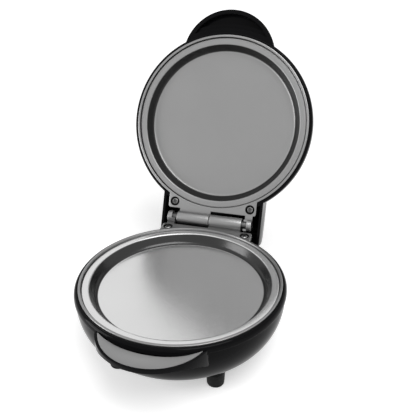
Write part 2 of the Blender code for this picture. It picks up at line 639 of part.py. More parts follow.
def collar(name):
    """Glossy band round the ring, open at the back where the neck comes up."""
    tongue = COLLAR_INNER + COLLAR_TONGUE
    ledge = COLLAR_INNER - COLLAR_LEDGE_REACH
    outline = [(COLLAR_INNER, -COLLAR_TOP - COLLAR_SOFTEN)]
    for out, down in RIM_CURVE_SHARES:
        outline.append((COLLAR_INNER + COLLAR_WIDTH * out, -COLLAR_TOP - COLLAR_WIDTH * down))
    outline += [
        (BODY_RADIUS, -COLLAR_BOTTOM + COLLAR_SOFTEN), (BODY_RADIUS - COLLAR_SOFTEN, -COLLAR_BOTTOM),
        (tongue, -COLLAR_BOTTOM), (tongue, -COLLAR_TONGUE_DROP), (ledge, -COLLAR_TONGUE_DROP),
        (ledge, COLLAR_SEAT_Z), (COLLAR_INNER, COLLAR_SEAT_Z)]
    band = turned(name, outline)
    half = NECK_HALF_WIDTH + SEAT_GAP
    low = (-half, 0, -COLLAR_TONGUE_DROP - OVERRUN)
    return cut(band, block("gap", low, (half, BODY_RADIUS + OVERRUN, OVERRUN)))


def bowl_outside():
    """Turned outside of the bowl, solid."""
    side = [(0, BOWL_TOP_Z), (BOWL_RADIUS - BOWL_TOP_SOFTEN, BOWL_TOP_Z)]
    sweep = quarter_round(BOWL_FLOOR_RADIUS, BOWL_RADIUS, -BOWL_SIDE_END, -BOWL_DEPTH, BOWL_ROUND_POINTS)
    return turned("base_bowl", side + sweep + [(0, -BOWL_DEPTH)])


def bowl_inside():
    """Turned cavity of the bowl, with the step that takes the collar's tongue."""
    lip = BOWL_RADIUS - BOWL_LIP_WALL
    wall = BOWL_RADIUS - BOWL_WALL
    inner_floor = BOWL_FLOOR_RADIUS - BOWL_WALL / 2
    side = [(0, OVERRUN), (lip, OVERRUN), (lip, -BOWL_SHELF)]
    sweep = quarter_round(inner_floor, wall, -BOWL_SIDE_END, BOWL_INSIDE_Z, BOWL_ROUND_POINTS - 2)
    return turned("cavity", side + [(wall, -BOWL_SHELF)] + sweep + [(0, BOWL_INSIDE_Z)])


def lip_cove():
    """Turned solid whose underside sweeps from the bowl out to the lip's tip."""
    end = HANDLE_REACH + OVERRUN
    fall = LIP_ROOT_DROP - LIP_TIP_DROP
    under = [(BODY_RADIUS + HANDLE_OUT * out, -LIP_TIP_DROP - fall * down) for out, down in LIP_COVE_SHARES]
    top = [(BOWL_FLOOR_RADIUS, OVERRUN), (end, OVERRUN), (end, -LIP_TIP_DROP)]
    return turned("cove", top + under + [(BOWL_FLOOR_RADIUS, -LIP_ROOT_DROP)])


def dish_surface(drop):
    """Scoop's hollow surface as (radius, height) points about the handle's middle, lowered by a drop."""
    edge = -TRIM_EDGE_DROP - drop
    return [(TRIM_RADIUS * out, edge - TRIM_DEPTH * down) for out, down in TRIM_DISH_SHARES]


def collar_room(low):
    """Solid round that keeps lip and scoop clear of the collar above a height."""
    return rod("collar_room", BODY_RADIUS + SEAT_GAP, low, OVERRUN, ROUND_STEPS)


def front_lip():
    """Half-moon finger lip on the bowl, hollowed for the silver scoop."""
    low = -LIP_ROOT_DROP - OVERRUN
    lip = prism("lip", handle_outline(0), low, OVERRUN)
    back = HANDLE_CENTRE_Y + HANDLE_ROOT + OVERRUN
    front = -HANDLE_REACH - OVERRUN
    side_view = [
        (front, low - OVERRUN), (back, low - OVERRUN),
        (back, -LIP_RIM_DROP - LIP_RIM_FALL), (front, -LIP_RIM_DROP)]
    keep_common(lip, prism("side_view", side_view, -BODY_RADIUS, BODY_RADIUS, "X"), lip_cove())
    edge = TRIM_RADIUS + SEAT_GAP
    surface = dish_surface(TRIM_THICK + SEAT_GAP)
    room = [(0, OVERRUN), (edge, OVERRUN), (edge, surface[0][1])] + surface[1:] + [(0, surface[-1][1])]
    cut(lip, turned("room", room, ROUND_STEPS, (0, HANDLE_CENTRE_Y)))
    return cut(lip, collar_room(BOWL_TOP_Z - SEAT_GAP))


def front_trim(name):
    """Silver scoop that lies in the lip."""
    outline = dish_surface(0) + dish_surface(TRIM_THICK)[::-1]
    trim = turned(name, outline, ROUND_STEPS, (0, HANDLE_CENTRE_Y))
    return cut(trim, collar_room(-LIP_ROOT_DROP))


def hood_edge_when_open(inset):
    """Place of the hood's bottom edge, (y, z) about the base ring, with the lid thrown back."""
    out = HOOD_TO_AXIS - inset
    up = HINGE_RISE + COLLAR_TOP
    turn = math.atan2(up, out) - OPEN_ANGLE
    radius = math.hypot(out, up)
    return (HINGE_REACH + radius * math.cos(turn) - SEAT_GAP, HINGE_RISE + radius * math.sin(turn))


def neck():
    """Block behind the bowl under the ear, with the face that stops the lid."""
    front = NECK_FOOT_REACH - NECK_DEPTH
    profile = [
        (front, NECK_TOP_Z), (NECK_REACH, NECK_TOP_Z), (NECK_REACH, -NECK_BACK_DROP),
        hood_edge_when_open(HOOD_WALL), hood_edge_when_open(0),
        (NECK_FOOT_REACH, -NECK_FOOT_DROP), (front, -NECK_FOOT_DROP)]
    made = prism("neck", profile, -NECK_HALF_WIDTH, NECK_HALF_WIDTH, "X")
    room = BARREL_RADIUS + KNUCKLE_SWING_GAP
    span = NECK_HALF_WIDTH + OVERRUN
    cut(made, rod("trough", room, -span, span, MIDDLE_STEPS, (HINGE_REACH, HINGE_RISE), "X"))
    cut(made, rod("seat", NECK_SEAT_RADIUS, -NECK_FOOT_DROP - OVERRUN, OVERRUN, ROUND_STEPS))
    return made


def lead_hole():
    """Tilted hole through the neck for the lead to the lid."""
    start = Vector(lead_to_hinge()[4])
    end = Vector(lead_to_hinge()[5])
    way = (end - start).normalized()
    ends = [start - way * OVERRUN * 2, end + way * OVERRUN]
    return swept("lead_hole", ends, LEAD_HOLE_RADIUS, HEATER_SIDES)


def base_bowl(name):
    """Outer shell of the base."""
    bowl = bowl_outside()
    bowl.name = name
    places = foot_places()
    low = -FOOT_BOSS_DROP
    for place in places:
        fuse(bowl, rod("boss", FOOT_BOSS_RADIUS, low, low + FOOT_BOSS_HEIGHT, MIDDLE_STEPS, place))
    inlet = (0, -INLET_DROP)
    spout = rod("spout", INLET_SPOUT_RADIUS, INLET_SPOUT_START, INLET_SPOUT_REACH, MIDDLE_STEPS, inlet, "Y")
    fuse(bowl, spout, front_lip())
    cut(bowl, bowl_inside())
    fuse(bowl, neck())
    for place in places:
        top = low + FOOT_STEM_LENGTH + SEAT_GAP
        cut(bowl, rod("socket", FOOT_STEM_RADIUS + FOOT_STEM_ROOM, low - OVERRUN, top, SCREW_STEPS, place))
    for side in (-1, 1):
        place = (side * EAR_SCREW_X, EAR_SCREW_Y)
        depth = -EAR_HEAD_SINK - EAR_SCREW_LENGTH - SCREW_END_GAP
        cut(bowl, rod("screw_hole", SCREW_HOLE_RADIUS, depth, OVERRUN, SCREW_STEPS, place))
    start, end = INLET_SPOUT_START - OVERRUN, INLET_SPOUT_REACH + OVERRUN
    hole = rod("inlet", BUSHING_RADIUS + SEAT_GAP, start, end, SMALL_STEPS, inlet, "Y")
    return cut(bowl, hole, lead_hole())


def foot_places():
    front = (FRONT_FOOT_X, FRONT_FOOT_INSET - BODY_RADIUS)
    rear = (REAR_FOOT_X, BODY_RADIUS - REAR_FOOT_INSET)
    return [(side * x, y) for x, y in (front, rear) for side in (-1, 1)]


def foot(name, place):
    """Rubber foot with the stem that plugs into the bowl."""
    stem_z = FOOT_TOP_Z + FOOT_STEM_LENGTH
    outline = [
        (0, TABLE_Z), (FOOT_BOTTOM_RADIUS - FOOT_EDGE, TABLE_Z), (FOOT_BOTTOM_RADIUS, TABLE_Z + FOOT_EDGE),
        (FOOT_TOP_RADIUS, FOOT_TOP_Z), (FOOT_STEM_RADIUS, FOOT_TOP_Z),
        (FOOT_STEM_RADIUS, stem_z), (0, stem_z)]
    return turned(name, outline, SMALL_STEPS, place)


def inlet_bushing(name):
    """Rubber bushing in the cord's hole."""
    face = INLET_SPOUT_REACH + SEAT_GAP
    end = face + BUSHING_FLANGE_THICK
    outline = [
        (BUSHING_BORE, face - BUSHING_LENGTH), (BUSHING_RADIUS, face - BUSHING_LENGTH),
        (BUSHING_RADIUS, face),
        (BUSHING_FLANGE_RADIUS, face), (BUSHING_FLANGE_RADIUS, end - BUSHING_FLANGE_THICK / 2),
        (BUSHING_FLANGE_RADIUS - BUSHING_FLANGE_THICK / 2, end), (BUSHING_BORE, end)]
    return turned(name, outline, SMALL_STEPS, (0, -INLET_DROP), "Y")


def thermostat(name):
    """Disc thermostat against the plate's back, with two flat blades."""
    top = PLATE_BACK_Z - SEAT_GAP
    cap_z = top - THERMOSTAT_HEIGHT + THERMOSTAT_CAP_HEIGHT
    low = top - THERMOSTAT_HEIGHT
    outline = [(0, top), (THERMOSTAT_RADIUS, top), (THERMOSTAT_RADIUS, cap_z), (THERMOSTAT_CAP_RADIUS, cap_z),
               (THERMOSTAT_CAP_RADIUS, low), (0, low)]
    body = turned(name, outline, MIDDLE_STEPS)
    for side in (-1, 1):
        x = side * BLADE_SPREAD
        corner = (x - BLADE_THICK / 2, -BLADE_WIDTH / 2, BLADE_END_Z)
        fuse(body, block("blade", corner, (x + BLADE_THICK / 2, BLADE_WIDTH / 2, low + BLADE_THICK)))
    return body


def thermal_fuse(name):
    """One-shot fuse clipped under the reflector."""
    near, far = FUSE_Y - FUSE_LENGTH / 2, FUSE_Y + FUSE_LENGTH / 2
    bevel = FUSE_RADIUS / 2
    outline = [
        (0, near), (FUSE_RADIUS - bevel, near), (FUSE_RADIUS, near + bevel),
        (FUSE_RADIUS, far - bevel), (FUSE_RADIUS - bevel, far), (0, far)]
    return turned(name, outline, SCREW_STEPS, (FUSE_X, FUSE_Z), "Y")


def terminal_block(name):
    """Ceramic two-way block on the bowl's floor."""
    corner = (-BLOCK_LENGTH / 2, BLOCK_Y - BLOCK_WIDTH / 2, BLOCK_LOW_Z)
    body = block(name, corner, (BLOCK_LENGTH / 2, BLOCK_Y + BLOCK_WIDTH / 2, BLOCK_TOP_Z))
    for side in (-1, 1):
        place = (side * BLOCK_BORE_X, BLOCK_Y)
        low = BLOCK_TOP_Z - BLOCK_HEIGHT / 2
        cut(body, rod("well", BLOCK_BORE, low, BLOCK_TOP_Z + OVERRUN, SCREW_STEPS, place))
    return body


def lead_to_hinge():
    """Route from the hinge's middle, out of the barrel, through the neck and down behind the reflector."""
    x = LEAD_HOLE_X
    bend = BARREL_RADIUS
    near = BOWL_RADIUS - BOWL_WALL - 2 * LEAD_RADIUS
    return [
        (MIDDLE_GAP, HINGE_REACH, HINGE_RISE), (x - 3 * LEAD_RADIUS, HINGE_REACH, HINGE_RISE),
        (x, HINGE_REACH, HINGE_RISE - 3 * LEAD_RADIUS),
        (x, HINGE_REACH - LEAD_RADIUS / 2, HINGE_RISE - 2 * bend + 2 * LEAD_RADIUS),
        (x, NECK_REACH + LEAD_RADIUS, LEAD_RADIUS - NECK_BACK_DROP),
        (x, near + LEAD_RADIUS / 2, -NECK_BACK_DROP - 1.5 * LEAD_RADIUS)]


def base_lead_route():
    """Out of the hinge and down inside the bowl to the terminal block."""
    x = LEAD_HOLE_X
    near = BOWL_RADIUS - BOWL_WALL - 5 * LEAD_RADIUS
    over = BLOCK_TOP_Z + 3 * LEAD_RADIUS
    return lead_to_hinge() + [
        (x, near, -NECK_FOOT_DROP), (x, BLOCK_Y + BLOCK_WIDTH, over),
        (BLOCK_BORE_X, BLOCK_Y, over), (BLOCK_BORE_X, BLOCK_Y, BLOCK_TOP_Z + SEAT_GAP)]


def lid_lead_route():
    """Same way out of the hinge, then over the reflector to the heater's pin."""
    pin = heater_pin_end(1)
    over = REFLECTOR_BACK_Z - LEAD_RADIUS - SEAT_GAP
    return lead_to_hinge() + [
        (LEAD_HOLE_X, REFLECTOR_WAIST_RADIUS + LEAD_RADIUS, over + 3.5 * LEAD_RADIUS),
        (LEAD_HOLE_X - LEAD_RADIUS, REFLECTOR_FLOOR_RADIUS, over),
        (pin.x + LEAD_RADIUS, pin.y + 4 * LEAD_RADIUS, over),
        (pin.x, pin.y + LEAD_RADIUS + SEAT_GAP, pin.z - LEAD_RADIUS)]


def live_lead_route():
    """From the block to the fuse's back end."""
    front = BLOCK_Y - BLOCK_WIDTH / 2
    end = FUSE_Y + FUSE_LENGTH / 2 + LEAD_RADIUS
    return [
        (-BLOCK_BORE_X, BLOCK_Y, BLOCK_TOP_Z + SEAT_GAP),
        (-BLOCK_BORE_X - LEAD_RADIUS / 2, BLOCK_Y - LEAD_RADIUS / 2, BLOCK_TOP_Z + 2.5 * LEAD_RADIUS),
        (-BLOCK_BORE_X - 3 * LEAD_RADIUS, front, BLOCK_TOP_Z + 4 * LEAD_RADIUS),
        (FUSE_X + 3 * LEAD_RADIUS, front - 8 * LEAD_RADIUS, FUSE_Z - 3.5 * LEAD_RADIUS),
        (FUSE_X, end + 5 * LEAD_RADIUS, FUSE_Z - 2.5 * LEAD_RADIUS), (FUSE_X, end, FUSE_Z)]


def thermostat_lead_route():
    """From the fuse's front end to the thermostat's left blade."""
    drop = 2 * LEAD_RADIUS
    start = FUSE_Y - FUSE_LENGTH / 2 - LEAD_RADIUS
    low = BLADE_END_Z - LEAD_RADIUS
    return [
        (FUSE_X, start, FUSE_Z), (FUSE_X + LEAD_RADIUS, start - 2 * drop, FUSE_Z - LEAD_RADIUS),
        (FUSE_X / 2, start - drop, FUSE_Z - 2 * drop), (-BLADE_SPREAD - drop, 0, low - drop),
        (-BLADE_SPREAD, 0, low)]


def heater_lead_route():
    """From the thermostat's right blade to the heater's pin."""
    drop = 2 * LEAD_RADIUS
    low = BLADE_END_Z - LEAD_RADIUS
    pin = heater_pin_end(1)
    return [
        (BLADE_SPREAD, 0, low), (BLADE_SPREAD + drop, drop, low - drop),
        (pin.x, pin.y / 2, FUSE_Z - drop), (pin.x + LEAD_RADIUS, pin.y - drop, FUSE_Z),
        (pin.x, pin.y + LEAD_RADIUS, pin.z - HEATER_PIN_RADIUS - 2 * LEAD_RADIUS)]


def dome(radius, top, side_end, points):
    """Heights of the lid's dome from its side to its crown."""
    turns = [math.pi / 2 * i / points for i in range(points + 1)]
    power = 2 / LID_DOME_POWER
    rise = top - side_end
    shape = [(radius * math.cos(t) ** power, side_end + rise * math.sin(t) ** power) for t in turns[:-1]]
    return shape + [(0, top)]


def hood_profile(inset):
    """Side view of the hood as (y, height) points, moved in by a wall."""
    reach = HOOD_REACH - inset
    top = HOOD_HEIGHT - inset
    radius = HOOD_REAR_ROUND - inset
    return arc((reach - radius, top - radius), radius, 0, math.pi / 2, HOOD_ROUND_STEPS)


def hood_solid():
    profile = [(HOOD_START, COLLAR_TOP), (HOOD_REACH, COLLAR_TOP)]
    profile += hood_profile(0) + [(HOOD_START, HOOD_HEIGHT)]
    shape = prism("hood", profile, -HOOD_HALF_WIDTH, HOOD_HALF_WIDTH, "X")
    edit = bmesh.new()
    edit.from_mesh(shape.data)
    edges = [edge for edge in edit.edges if is_hood_corner(edge)]
    bmesh.ops.bevel(edit, geom=edges, offset=HOOD_EDGE_ROUND, segments=HOOD_EDGE_STEPS, affect="EDGES",
                    profile=ROUND_SHARE)
    edit.to_mesh(shape.data)
    edit.free()
    return shape


def is_hood_corner(edge):
    """True for the long side edges of the hood, not its bottom or its buried front."""
    one, two = (vert.co for vert in edge.verts)
    on_cheek = abs(abs(one.x) - HOOD_HALF_WIDTH) < SEAT_GAP and abs(one.x - two.x) < SEAT_GAP
    at_bottom = one.z < COLLAR_TOP + SEAT_GAP and two.z < COLLAR_TOP + SEAT_GAP
    at_front = one.y < HOOD_START + SEAT_GAP and two.y < HOOD_START + SEAT_GAP
    return on_cheek and not at_bottom and not at_front


def hood_hollow():
    """Space under the hood, behind the dome's own wall."""
    low = -OVERRUN
    profile = [(HOOD_CAVITY_START, low), (HOOD_REACH - HOOD_WALL, low)] + hood_profile(HOOD_WALL)
    profile += [(HOOD_CAVITY_START, HOOD_HEIGHT - HOOD_WALL)]
    half = HOOD_HALF_WIDTH - HOOD_WALL
    hollow = prism("hood_hollow", profile, -half, half, "X")
    wall = BODY_RADIUS + SEAT_GAP
    return cut(hollow, rod("wall", wall, low - OVERRUN, LID_HEIGHT, ROUND_STEPS))


def handle_outline(inset):
    """Half-moon of the lid's handle and the lip under it, seen from above."""
    front = arc((0, HANDLE_CENTRE_Y), HANDLE_ARC_RADIUS - inset, -math.pi, 0, HANDLE_STEPS)
    back = HANDLE_CENTRE_Y + HANDLE_ROOT
    return front + [(front[-1][0], back), (front[0][0], back)]


def is_handle_rim(edge):
    """True for the edges of the handle's top, but not the buried back."""
    at_top = all(abs(vert.co.z - HANDLE_TOP) < SEAT_GAP for vert in edge.verts)
    middle_y = (edge.verts[0].co.y + edge.verts[1].co.y) / 2
    return at_top and middle_y < HANDLE_CENTRE_Y + HANDLE_ROOT - SEAT_GAP


def handle_solid():
    handle = prism("handle", handle_outline(0), HANDLE_BOTTOM, HANDLE_TOP)
    edit = bmesh.new()
    edit.from_mesh(handle.data)
    edges = [edge for edge in edit.edges if is_handle_rim(edge)]
    bmesh.ops.bevel(edit, geom=edges, offset=HANDLE_EDGE_ROUND, segments=HANDLE_EDGE_STEPS, affect="EDGES",
                    profile=ROUND_SHARE)
    edit.to_mesh(handle.data)
    edit.free()
    return handle


def handle_pocket(top, inner_radius, rim):
    """Recess under the handle, from a step's edge to the rim."""
    pocket = prism("pocket", handle_outline(rim), HANDLE_BOTTOM - OVERRUN, top)
    return cut(pocket, rod("step", inner_radius, -OVERRUN, LID_HEIGHT, ROUND_STEPS))


def lid_housing(name):
    """Outer shell of the lid, with its hood over the hinge and its handle."""
    rim_z = COLLAR_TOP + COLLAR_SOFTEN
    side = [(0, rim_z), (COLLAR_INNER - COLLAR_GAP, rim_z)]
    for out, up in RIM_CURVE_SHARES:
        side.append((COLLAR_INNER + COLLAR_WIDTH * out, COLLAR_TOP + COLLAR_WIDTH * up))
    shell = turned(name, side + dome(BODY_RADIUS, LID_HEIGHT, LID_SIDE_END, LID_DOME_POINTS))
    fuse(shell, hood_solid(), handle_solid())
    cut(shell, hood_hollow())
    places = [(side * EAR_SCREW_X, EAR_SCREW_Y) for side in (-1, 1)]
    ear_room = EAR_THICK + SEAT_GAP
    boss_top = HOOD_HEIGHT - HOOD_WALL / 2
    for place in places:
        fuse(shell, rod("boss", LID_BOSS_RADIUS, ear_room - OVERRUN, boss_top, SMALL_STEPS, place))
    shelf = -COLLAR_SEAT_Z
    inner = BODY_RADIUS - LID_WALL
    hollow = [(0, -OVERRUN), (COLLAR_INNER, -OVERRUN), (COLLAR_INNER, shelf), (LID_LEDGE_RADIUS, shelf),
              (LID_LEDGE_RADIUS, shelf + LID_LEDGE_THICK)]
    hollow += dome(inner, LID_HEIGHT - LID_WALL, LID_SIDE_END + LID_LEDGE_THICK, LID_DOME_POINTS - 1)
    cut(shell, turned("hollow", hollow))
    cut(shell, handle_pocket(HANDLE_TOP - HANDLE_SKIN, HANDLE_LEDGE_RADIUS, HANDLE_RIM))
    cut(shell, handle_pocket(HANDLE_STEP_TOP, HANDLE_STEP_RADIUS, HANDLE_RIM + SEAT_GAP))
    half = NECK_HALF_WIDTH + SEAT_GAP
    cut(shell, block("ear_room", (-half, 0, -OVERRUN), (half, EAR_REACH + OVERRUN, ear_room)))
    for place in places:
        depth = EAR_HEAD_SINK + EAR_SCREW_LENGTH + SCREW_END_GAP
        cut(shell, rod("screw_hole", SCREW_HOLE_RADIUS, -OVERRUN, depth, SCREW_STEPS, place))
    hole = lead_hole()
    hole.data.transform(Matrix.Rotation(math.pi, 4, "Y"))
    return cut(shell, hole)


def half_pieces(prefix, parent, finishes, has_thermostat, turn):
    """Ring, plate, heater, reflector and screws, alike in the base and the lid."""
    side = "base" if prefix == "lower" else "lid"
    made = [
        finish(hinge_frame(side + "_hinge_frame"), finishes["frame"], parent),
        finish(cooking_plate(prefix + "_plate"), finishes["plate"], parent),
        finish(heater(prefix + "_heater"), finishes["heater"], parent),
        finish(reflector(prefix + "_reflector", has_thermostat), finishes[prefix + "_sheet"], parent)]
    for number, place in enumerate(post_places(), 1):
        made.append(finish(plate_screw(f"{prefix}_plate_screw_{number}", place), finishes["screw"], parent))
    for label, way in (("left", -1), ("right", 1)):
        screw = ear_screw(f"{side}_ear_screw_{label}", (way * turn * EAR_SCREW_X, EAR_SCREW_Y))
        made.append(finish(screw, finishes["screw"], parent))
    return made


def build_base(root, finishes):
    half_pieces("lower", root, finishes, True, 1)
    finish(base_bowl("base_bowl"), finishes["black"], root)
    finish(collar("base_collar"), finishes["black"], root)
    finish(front_trim("front_trim"), finishes["trim"], root)
    for label, place in zip(("front_left", "front_right", "rear_left", "rear_right"), foot_places()):
        finish(foot("foot_" + label, place), finishes["rubber"], root)
    finish(inlet_bushing("cord_inlet_bushing"), finishes["rubber"], root)
    finish(stub_pin("hinge_pin_left", -1), finishes["screw"], root)
    finish(thermostat("thermostat"), finishes["ceramic"], root)
    finish(thermal_fuse("thermal_fuse"), finishes["screw"], root)
    finish(terminal_block("terminal_block"), finishes["ceramic"], root)
    routes = {
        "hinge_lead": base_lead_route(), "live_lead": live_lead_route(),
        "thermostat_lead": thermostat_lead_route(), "heater_lead": heater_lead_route()}
    for name, route in routes.items():
        finish(swept(name, smooth_route(route), LEAD_RADIUS, LEAD_SIDES), finishes["lead"], root)


def build_lid(pivot, finishes):
    """Lid pieces in their closed place about the hinge axis."""
    seat = Matrix.Translation((0, -HINGE_REACH, HINGE_RISE))
    over = seat @ Matrix.Rotation(math.pi, 4, "Y")
    for piece in half_pieces("upper", pivot, finishes, False, -1):
        piece.matrix_local = over
    pin = finish(stub_pin("hinge_pin_right", -1), finishes["screw"], pivot)
    lead = swept("lid_lead", smooth_route(lid_lead_route()), LEAD_RADIUS, LEAD_SIDES)
    finish(lead, finishes["lead"], pivot)
    for piece in (pin, lead):
        piece.matrix_local = over
    finish(lid_housing("lid_housing"), finishes["black"], pivot).matrix_local = seat


def stand_on_origin(root):
    """Moves the whole object so that the middle of its box's bottom is the origin."""
    bpy.context.view_layer.update()
    pieces = [item for item in bpy.data.objects if item.type == "MESH"]
    corners = [item.matrix_world @ vert.co for item in pieces for vert in item.data.vertices]
    low = [min(corner[i] for corner in corners) for i in range(3)]
    high = [max(corner[i] for corner in corners) for i in range(3)]
    root.location = (-(low[0] + high[0]) / 2, -(low[1] + high[1]) / 2, -low[2])
    bpy.context.view_layer.update()
    print("base ring centre", [round(value, 6) for value in root.location])
    print("hinge axis", [round(value, 6) for value in root.location + Vector((0, HINGE_REACH, HINGE_RISE))])
    print("box", [round(h - l, 5) for l, h in zip(low, high)])


def build():
    clear_scene()
    finishes = {
        "black": material("gloss_black_plastic", (0.012, 0.012, 0.013), 0.12),
        "plate": material("coated_plate", (0.42, 0.42, 0.42), 0.38, 0.6),
        "frame": material("satin_metal", (0.55, 0.55, 0.55), 0.3, 1.0),
        "trim": material("satin_silver_paint", (0.42, 0.42, 0.42), 0.42, 0.5),
        "rubber": material("black_rubber", (0.02, 0.02, 0.02), 0.7),
        "screw": material("screw_steel", (0.5, 0.5, 0.5), 0.3, 1.0),
        "heater": material("heater_sheath", (0.3, 0.28, 0.27), 0.5, 1.0),
        "lower_sheet": material("plated_sheet", (0.6, 0.6, 0.58), 0.35, 1.0),
        "upper_sheet": material("light_sheet", (0.65, 0.65, 0.65), 0.4, 1.0),
        "ceramic": material("white_ceramic", (0.75, 0.72, 0.66), 0.5),
        "lead": material("lead_sleeve", (0.6, 0.6, 0.58), 0.6)}
    root = bpy.data.objects.new("base_ring_centre", None)
    pivot = bpy.data.objects.new("lid_pivot", None)
    for empty in (root, pivot):
        bpy.context.scene.collection.objects.link(empty)
    pivot.parent = root
    pivot.location = (0, HINGE_REACH, HINGE_RISE)
    build_base(root, finishes)
    build_lid(pivot, finishes)
    pivot.rotation_euler = (-OPEN_ANGLE, 0, 0)
    stand_on_origin(root)


build()
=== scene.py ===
import json
import math

import bmesh
import bpy
from mathutils import Matrix, Vector


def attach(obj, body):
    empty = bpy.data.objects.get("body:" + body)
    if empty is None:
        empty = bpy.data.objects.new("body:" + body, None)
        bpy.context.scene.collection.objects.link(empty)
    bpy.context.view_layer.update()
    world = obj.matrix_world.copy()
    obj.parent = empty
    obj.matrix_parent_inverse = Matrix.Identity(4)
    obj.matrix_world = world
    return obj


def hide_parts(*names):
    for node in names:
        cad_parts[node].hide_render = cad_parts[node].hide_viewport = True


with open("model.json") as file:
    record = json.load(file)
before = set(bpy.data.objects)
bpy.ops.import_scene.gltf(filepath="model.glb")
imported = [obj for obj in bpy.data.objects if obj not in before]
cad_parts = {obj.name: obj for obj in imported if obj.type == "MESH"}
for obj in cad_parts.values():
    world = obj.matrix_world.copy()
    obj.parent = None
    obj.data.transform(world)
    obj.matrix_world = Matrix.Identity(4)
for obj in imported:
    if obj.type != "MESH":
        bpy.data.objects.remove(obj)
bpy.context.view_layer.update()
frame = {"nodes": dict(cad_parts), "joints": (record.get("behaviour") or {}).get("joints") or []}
print("frame loaded:", len(frame["nodes"]), "nodes")

mm = 0.001

# sides of round shapes: large turned pieces, barrels, bosses, bores, pins, posts and holes
roundSteps, barrelSteps, bossSteps, boreSteps, pinSteps, postSteps, holeSteps = 160, 64, 56, 48, 40, 32, 24
outsideSteps, insideSteps = 40, 20      # steps of a shell's curve, seen and unseen
cornerSteps, rimSteps, edgeSteps = 8, 5, 4      # steps of a large corner, a rim's fillets and a rounded edge
shellSharp = 30         # degrees from which an edge of a shell stays sharp

gap = 0.3               # between pieces that rest on each other, in mm
past = 2                # how far a cutting shape runs past the piece, in mm
weld = 0.002            # points closer than this are one, in mm
near = 0.01             # how close to a plane an edge picked by it lies, in mm
cornerShare = 0.45      # the most of a side that a rounded corner takes

# where the base and the lid stand: each is drawn in mm about the middle of its own silver ring
hinge = {"reach": 71.3, "rise": 2.2}
lidJoint = frame["joints"][0]
hingePoint = Vector(lidJoint["pos_m"])
openAngle = math.radians(lidJoint["range_deg"][1])
toMetres = Matrix.Scale(mm, 4)
ringCentre = hingePoint - Vector((0, hinge["reach"], hinge["rise"])) * mm
basePlace = Matrix.Translation(ringCentre) @ toMetres
lidPlace = (Matrix.Translation(hingePoint) @ Matrix.Rotation(-openAngle, 4, "X") @ toMetres
            @ Matrix.Translation((0, -hinge["reach"], hinge["rise"])))
flipped = Matrix.Rotation(math.pi, 4, "Y")      # a base piece turned over for the lid


# mesh helpers, all in mm

def linkMesh(shape, name="work"):
    bmesh.ops.recalc_face_normals(shape, faces=shape.faces)
    mesh = bpy.data.meshes.new(name)
    shape.to_mesh(mesh)
    shape.free()
    piece = bpy.data.objects.new(name, mesh)
    bpy.context.scene.collection.objects.link(piece)
    return piece


def softened(outline, radius, steps=4):
    # rounds each corner of an outline, never past the middle of its sides
    done = []
    count = len(outline)
    for i, point in enumerate(outline):
        here = Vector(point[:2])
        size = point[2] if len(point) > 2 else radius
        before = Vector(outline[i - 1][:2]) - here
        after = Vector(outline[(i + 1) % count][:2]) - here
        if size == 0 or (here.x == 0 and radius > 0 and (before.x == 0 or after.x == 0) and len(point) < 3):
            done.append((here.x, here.y))
            continue
        reach = min(size, before.length * cornerShare, after.length * cornerShare)
        a = here + before.normalized() * reach
        b = here + after.normalized() * reach
        for k in range(steps + 1):
            t = k / steps
            spot = a * (1 - t) ** 2 + here * 2 * t * (1 - t) + b * t ** 2
            done.append((spot.x, spot.y))
    return done


def turned(outline, steps=roundSteps, centre=(0, 0), axis="Z"):
    # (radius, height) outline turned round Z, or round a line along X or Y
    shape = bmesh.new()
    rings = []
    for radius, height in outline:
        if radius == 0:
            rings.append([shape.verts.new((0, 0, height))])
            continue
        turns = [2 * math.pi * i / steps for i in range(steps)]
        rings.append([shape.verts.new((radius * math.cos(a), radius * math.sin(a), height)) for a in turns])
    for one, two in zip(rings, rings[1:] + rings[:1]):
        for i in range(steps):
            corners = [one[i % len(one)], one[(i + 1) % len(one)], two[(i + 1) % len(two)], two[i % len(two)]]
            corners = list(dict.fromkeys(corners))
            if len(corners) > 2:
                shape.faces.new(corners)
    if axis == "X":
        bmesh.ops.transform(shape, matrix=Matrix.Rotation(math.pi / 2, 4, "Y"), verts=shape.verts)
        bmesh.ops.translate(shape, vec=(0, centre[0], centre[1]), verts=shape.verts)
    elif axis == "Y":
        bmesh.ops.transform(shape, matrix=Matrix.Rotation(-math.pi / 2, 4, "X"), verts=shape.verts)
        bmesh.ops.translate(shape, vec=(centre[0], 0, centre[1]), verts=shape.verts)
    else:
        bmesh.ops.translate(shape, vec=(centre[0], centre[1], 0), verts=shape.verts)
    return linkMesh(shape)


def bar(radius, start, end, steps=pinSteps, centre=(0, 0), axis="Z", edge=0.0):
    outline = [(0, start), (radius, start), (radius, end), (0, end)]
    return turned(softened(outline, edge) if edge else outline, steps, centre, axis)


def pushed(outline, low, high, axis="Z"):
    # flat outline pushed up Z, or a (y, z) outline pushed along X
    shape = bmesh.new()
    ends = []
    for height in (low, high):
        spots = [(a, b, height) if axis == "Z" else (height, a, b) for a, b in outline]
        ends.append([shape.verts.new(spot) for spot in spots])
        shape.faces.new(ends[-1])
    count = len(outline)
    for i in range(count):
        j = (i + 1) % count
        shape.faces.new([ends[0][i], ends[0][j], ends[1][j], ends[1][i]])
    return linkMesh(shape)


def box(low, high):
    corners = [(low[0], low[1]), (high[0], low[1]), (high[0], high[1]), (low[0], high[1])]
    return pushed(corners, low[2], high[2])


def arc(centre, radius, start, end, steps):
    angles = [start + (end - start) * i / steps for i in range(steps + 1)]
    return [(centre[0] + radius * math.cos(a), centre[1] + radius * math.sin(a)) for a in angles]


def plainMesh(piece):
    bpy.context.view_layer.update()
    graph = bpy.context.evaluated_depsgraph_get()
    return bpy.data.meshes.new_from_object(piece.evaluated_get(graph))


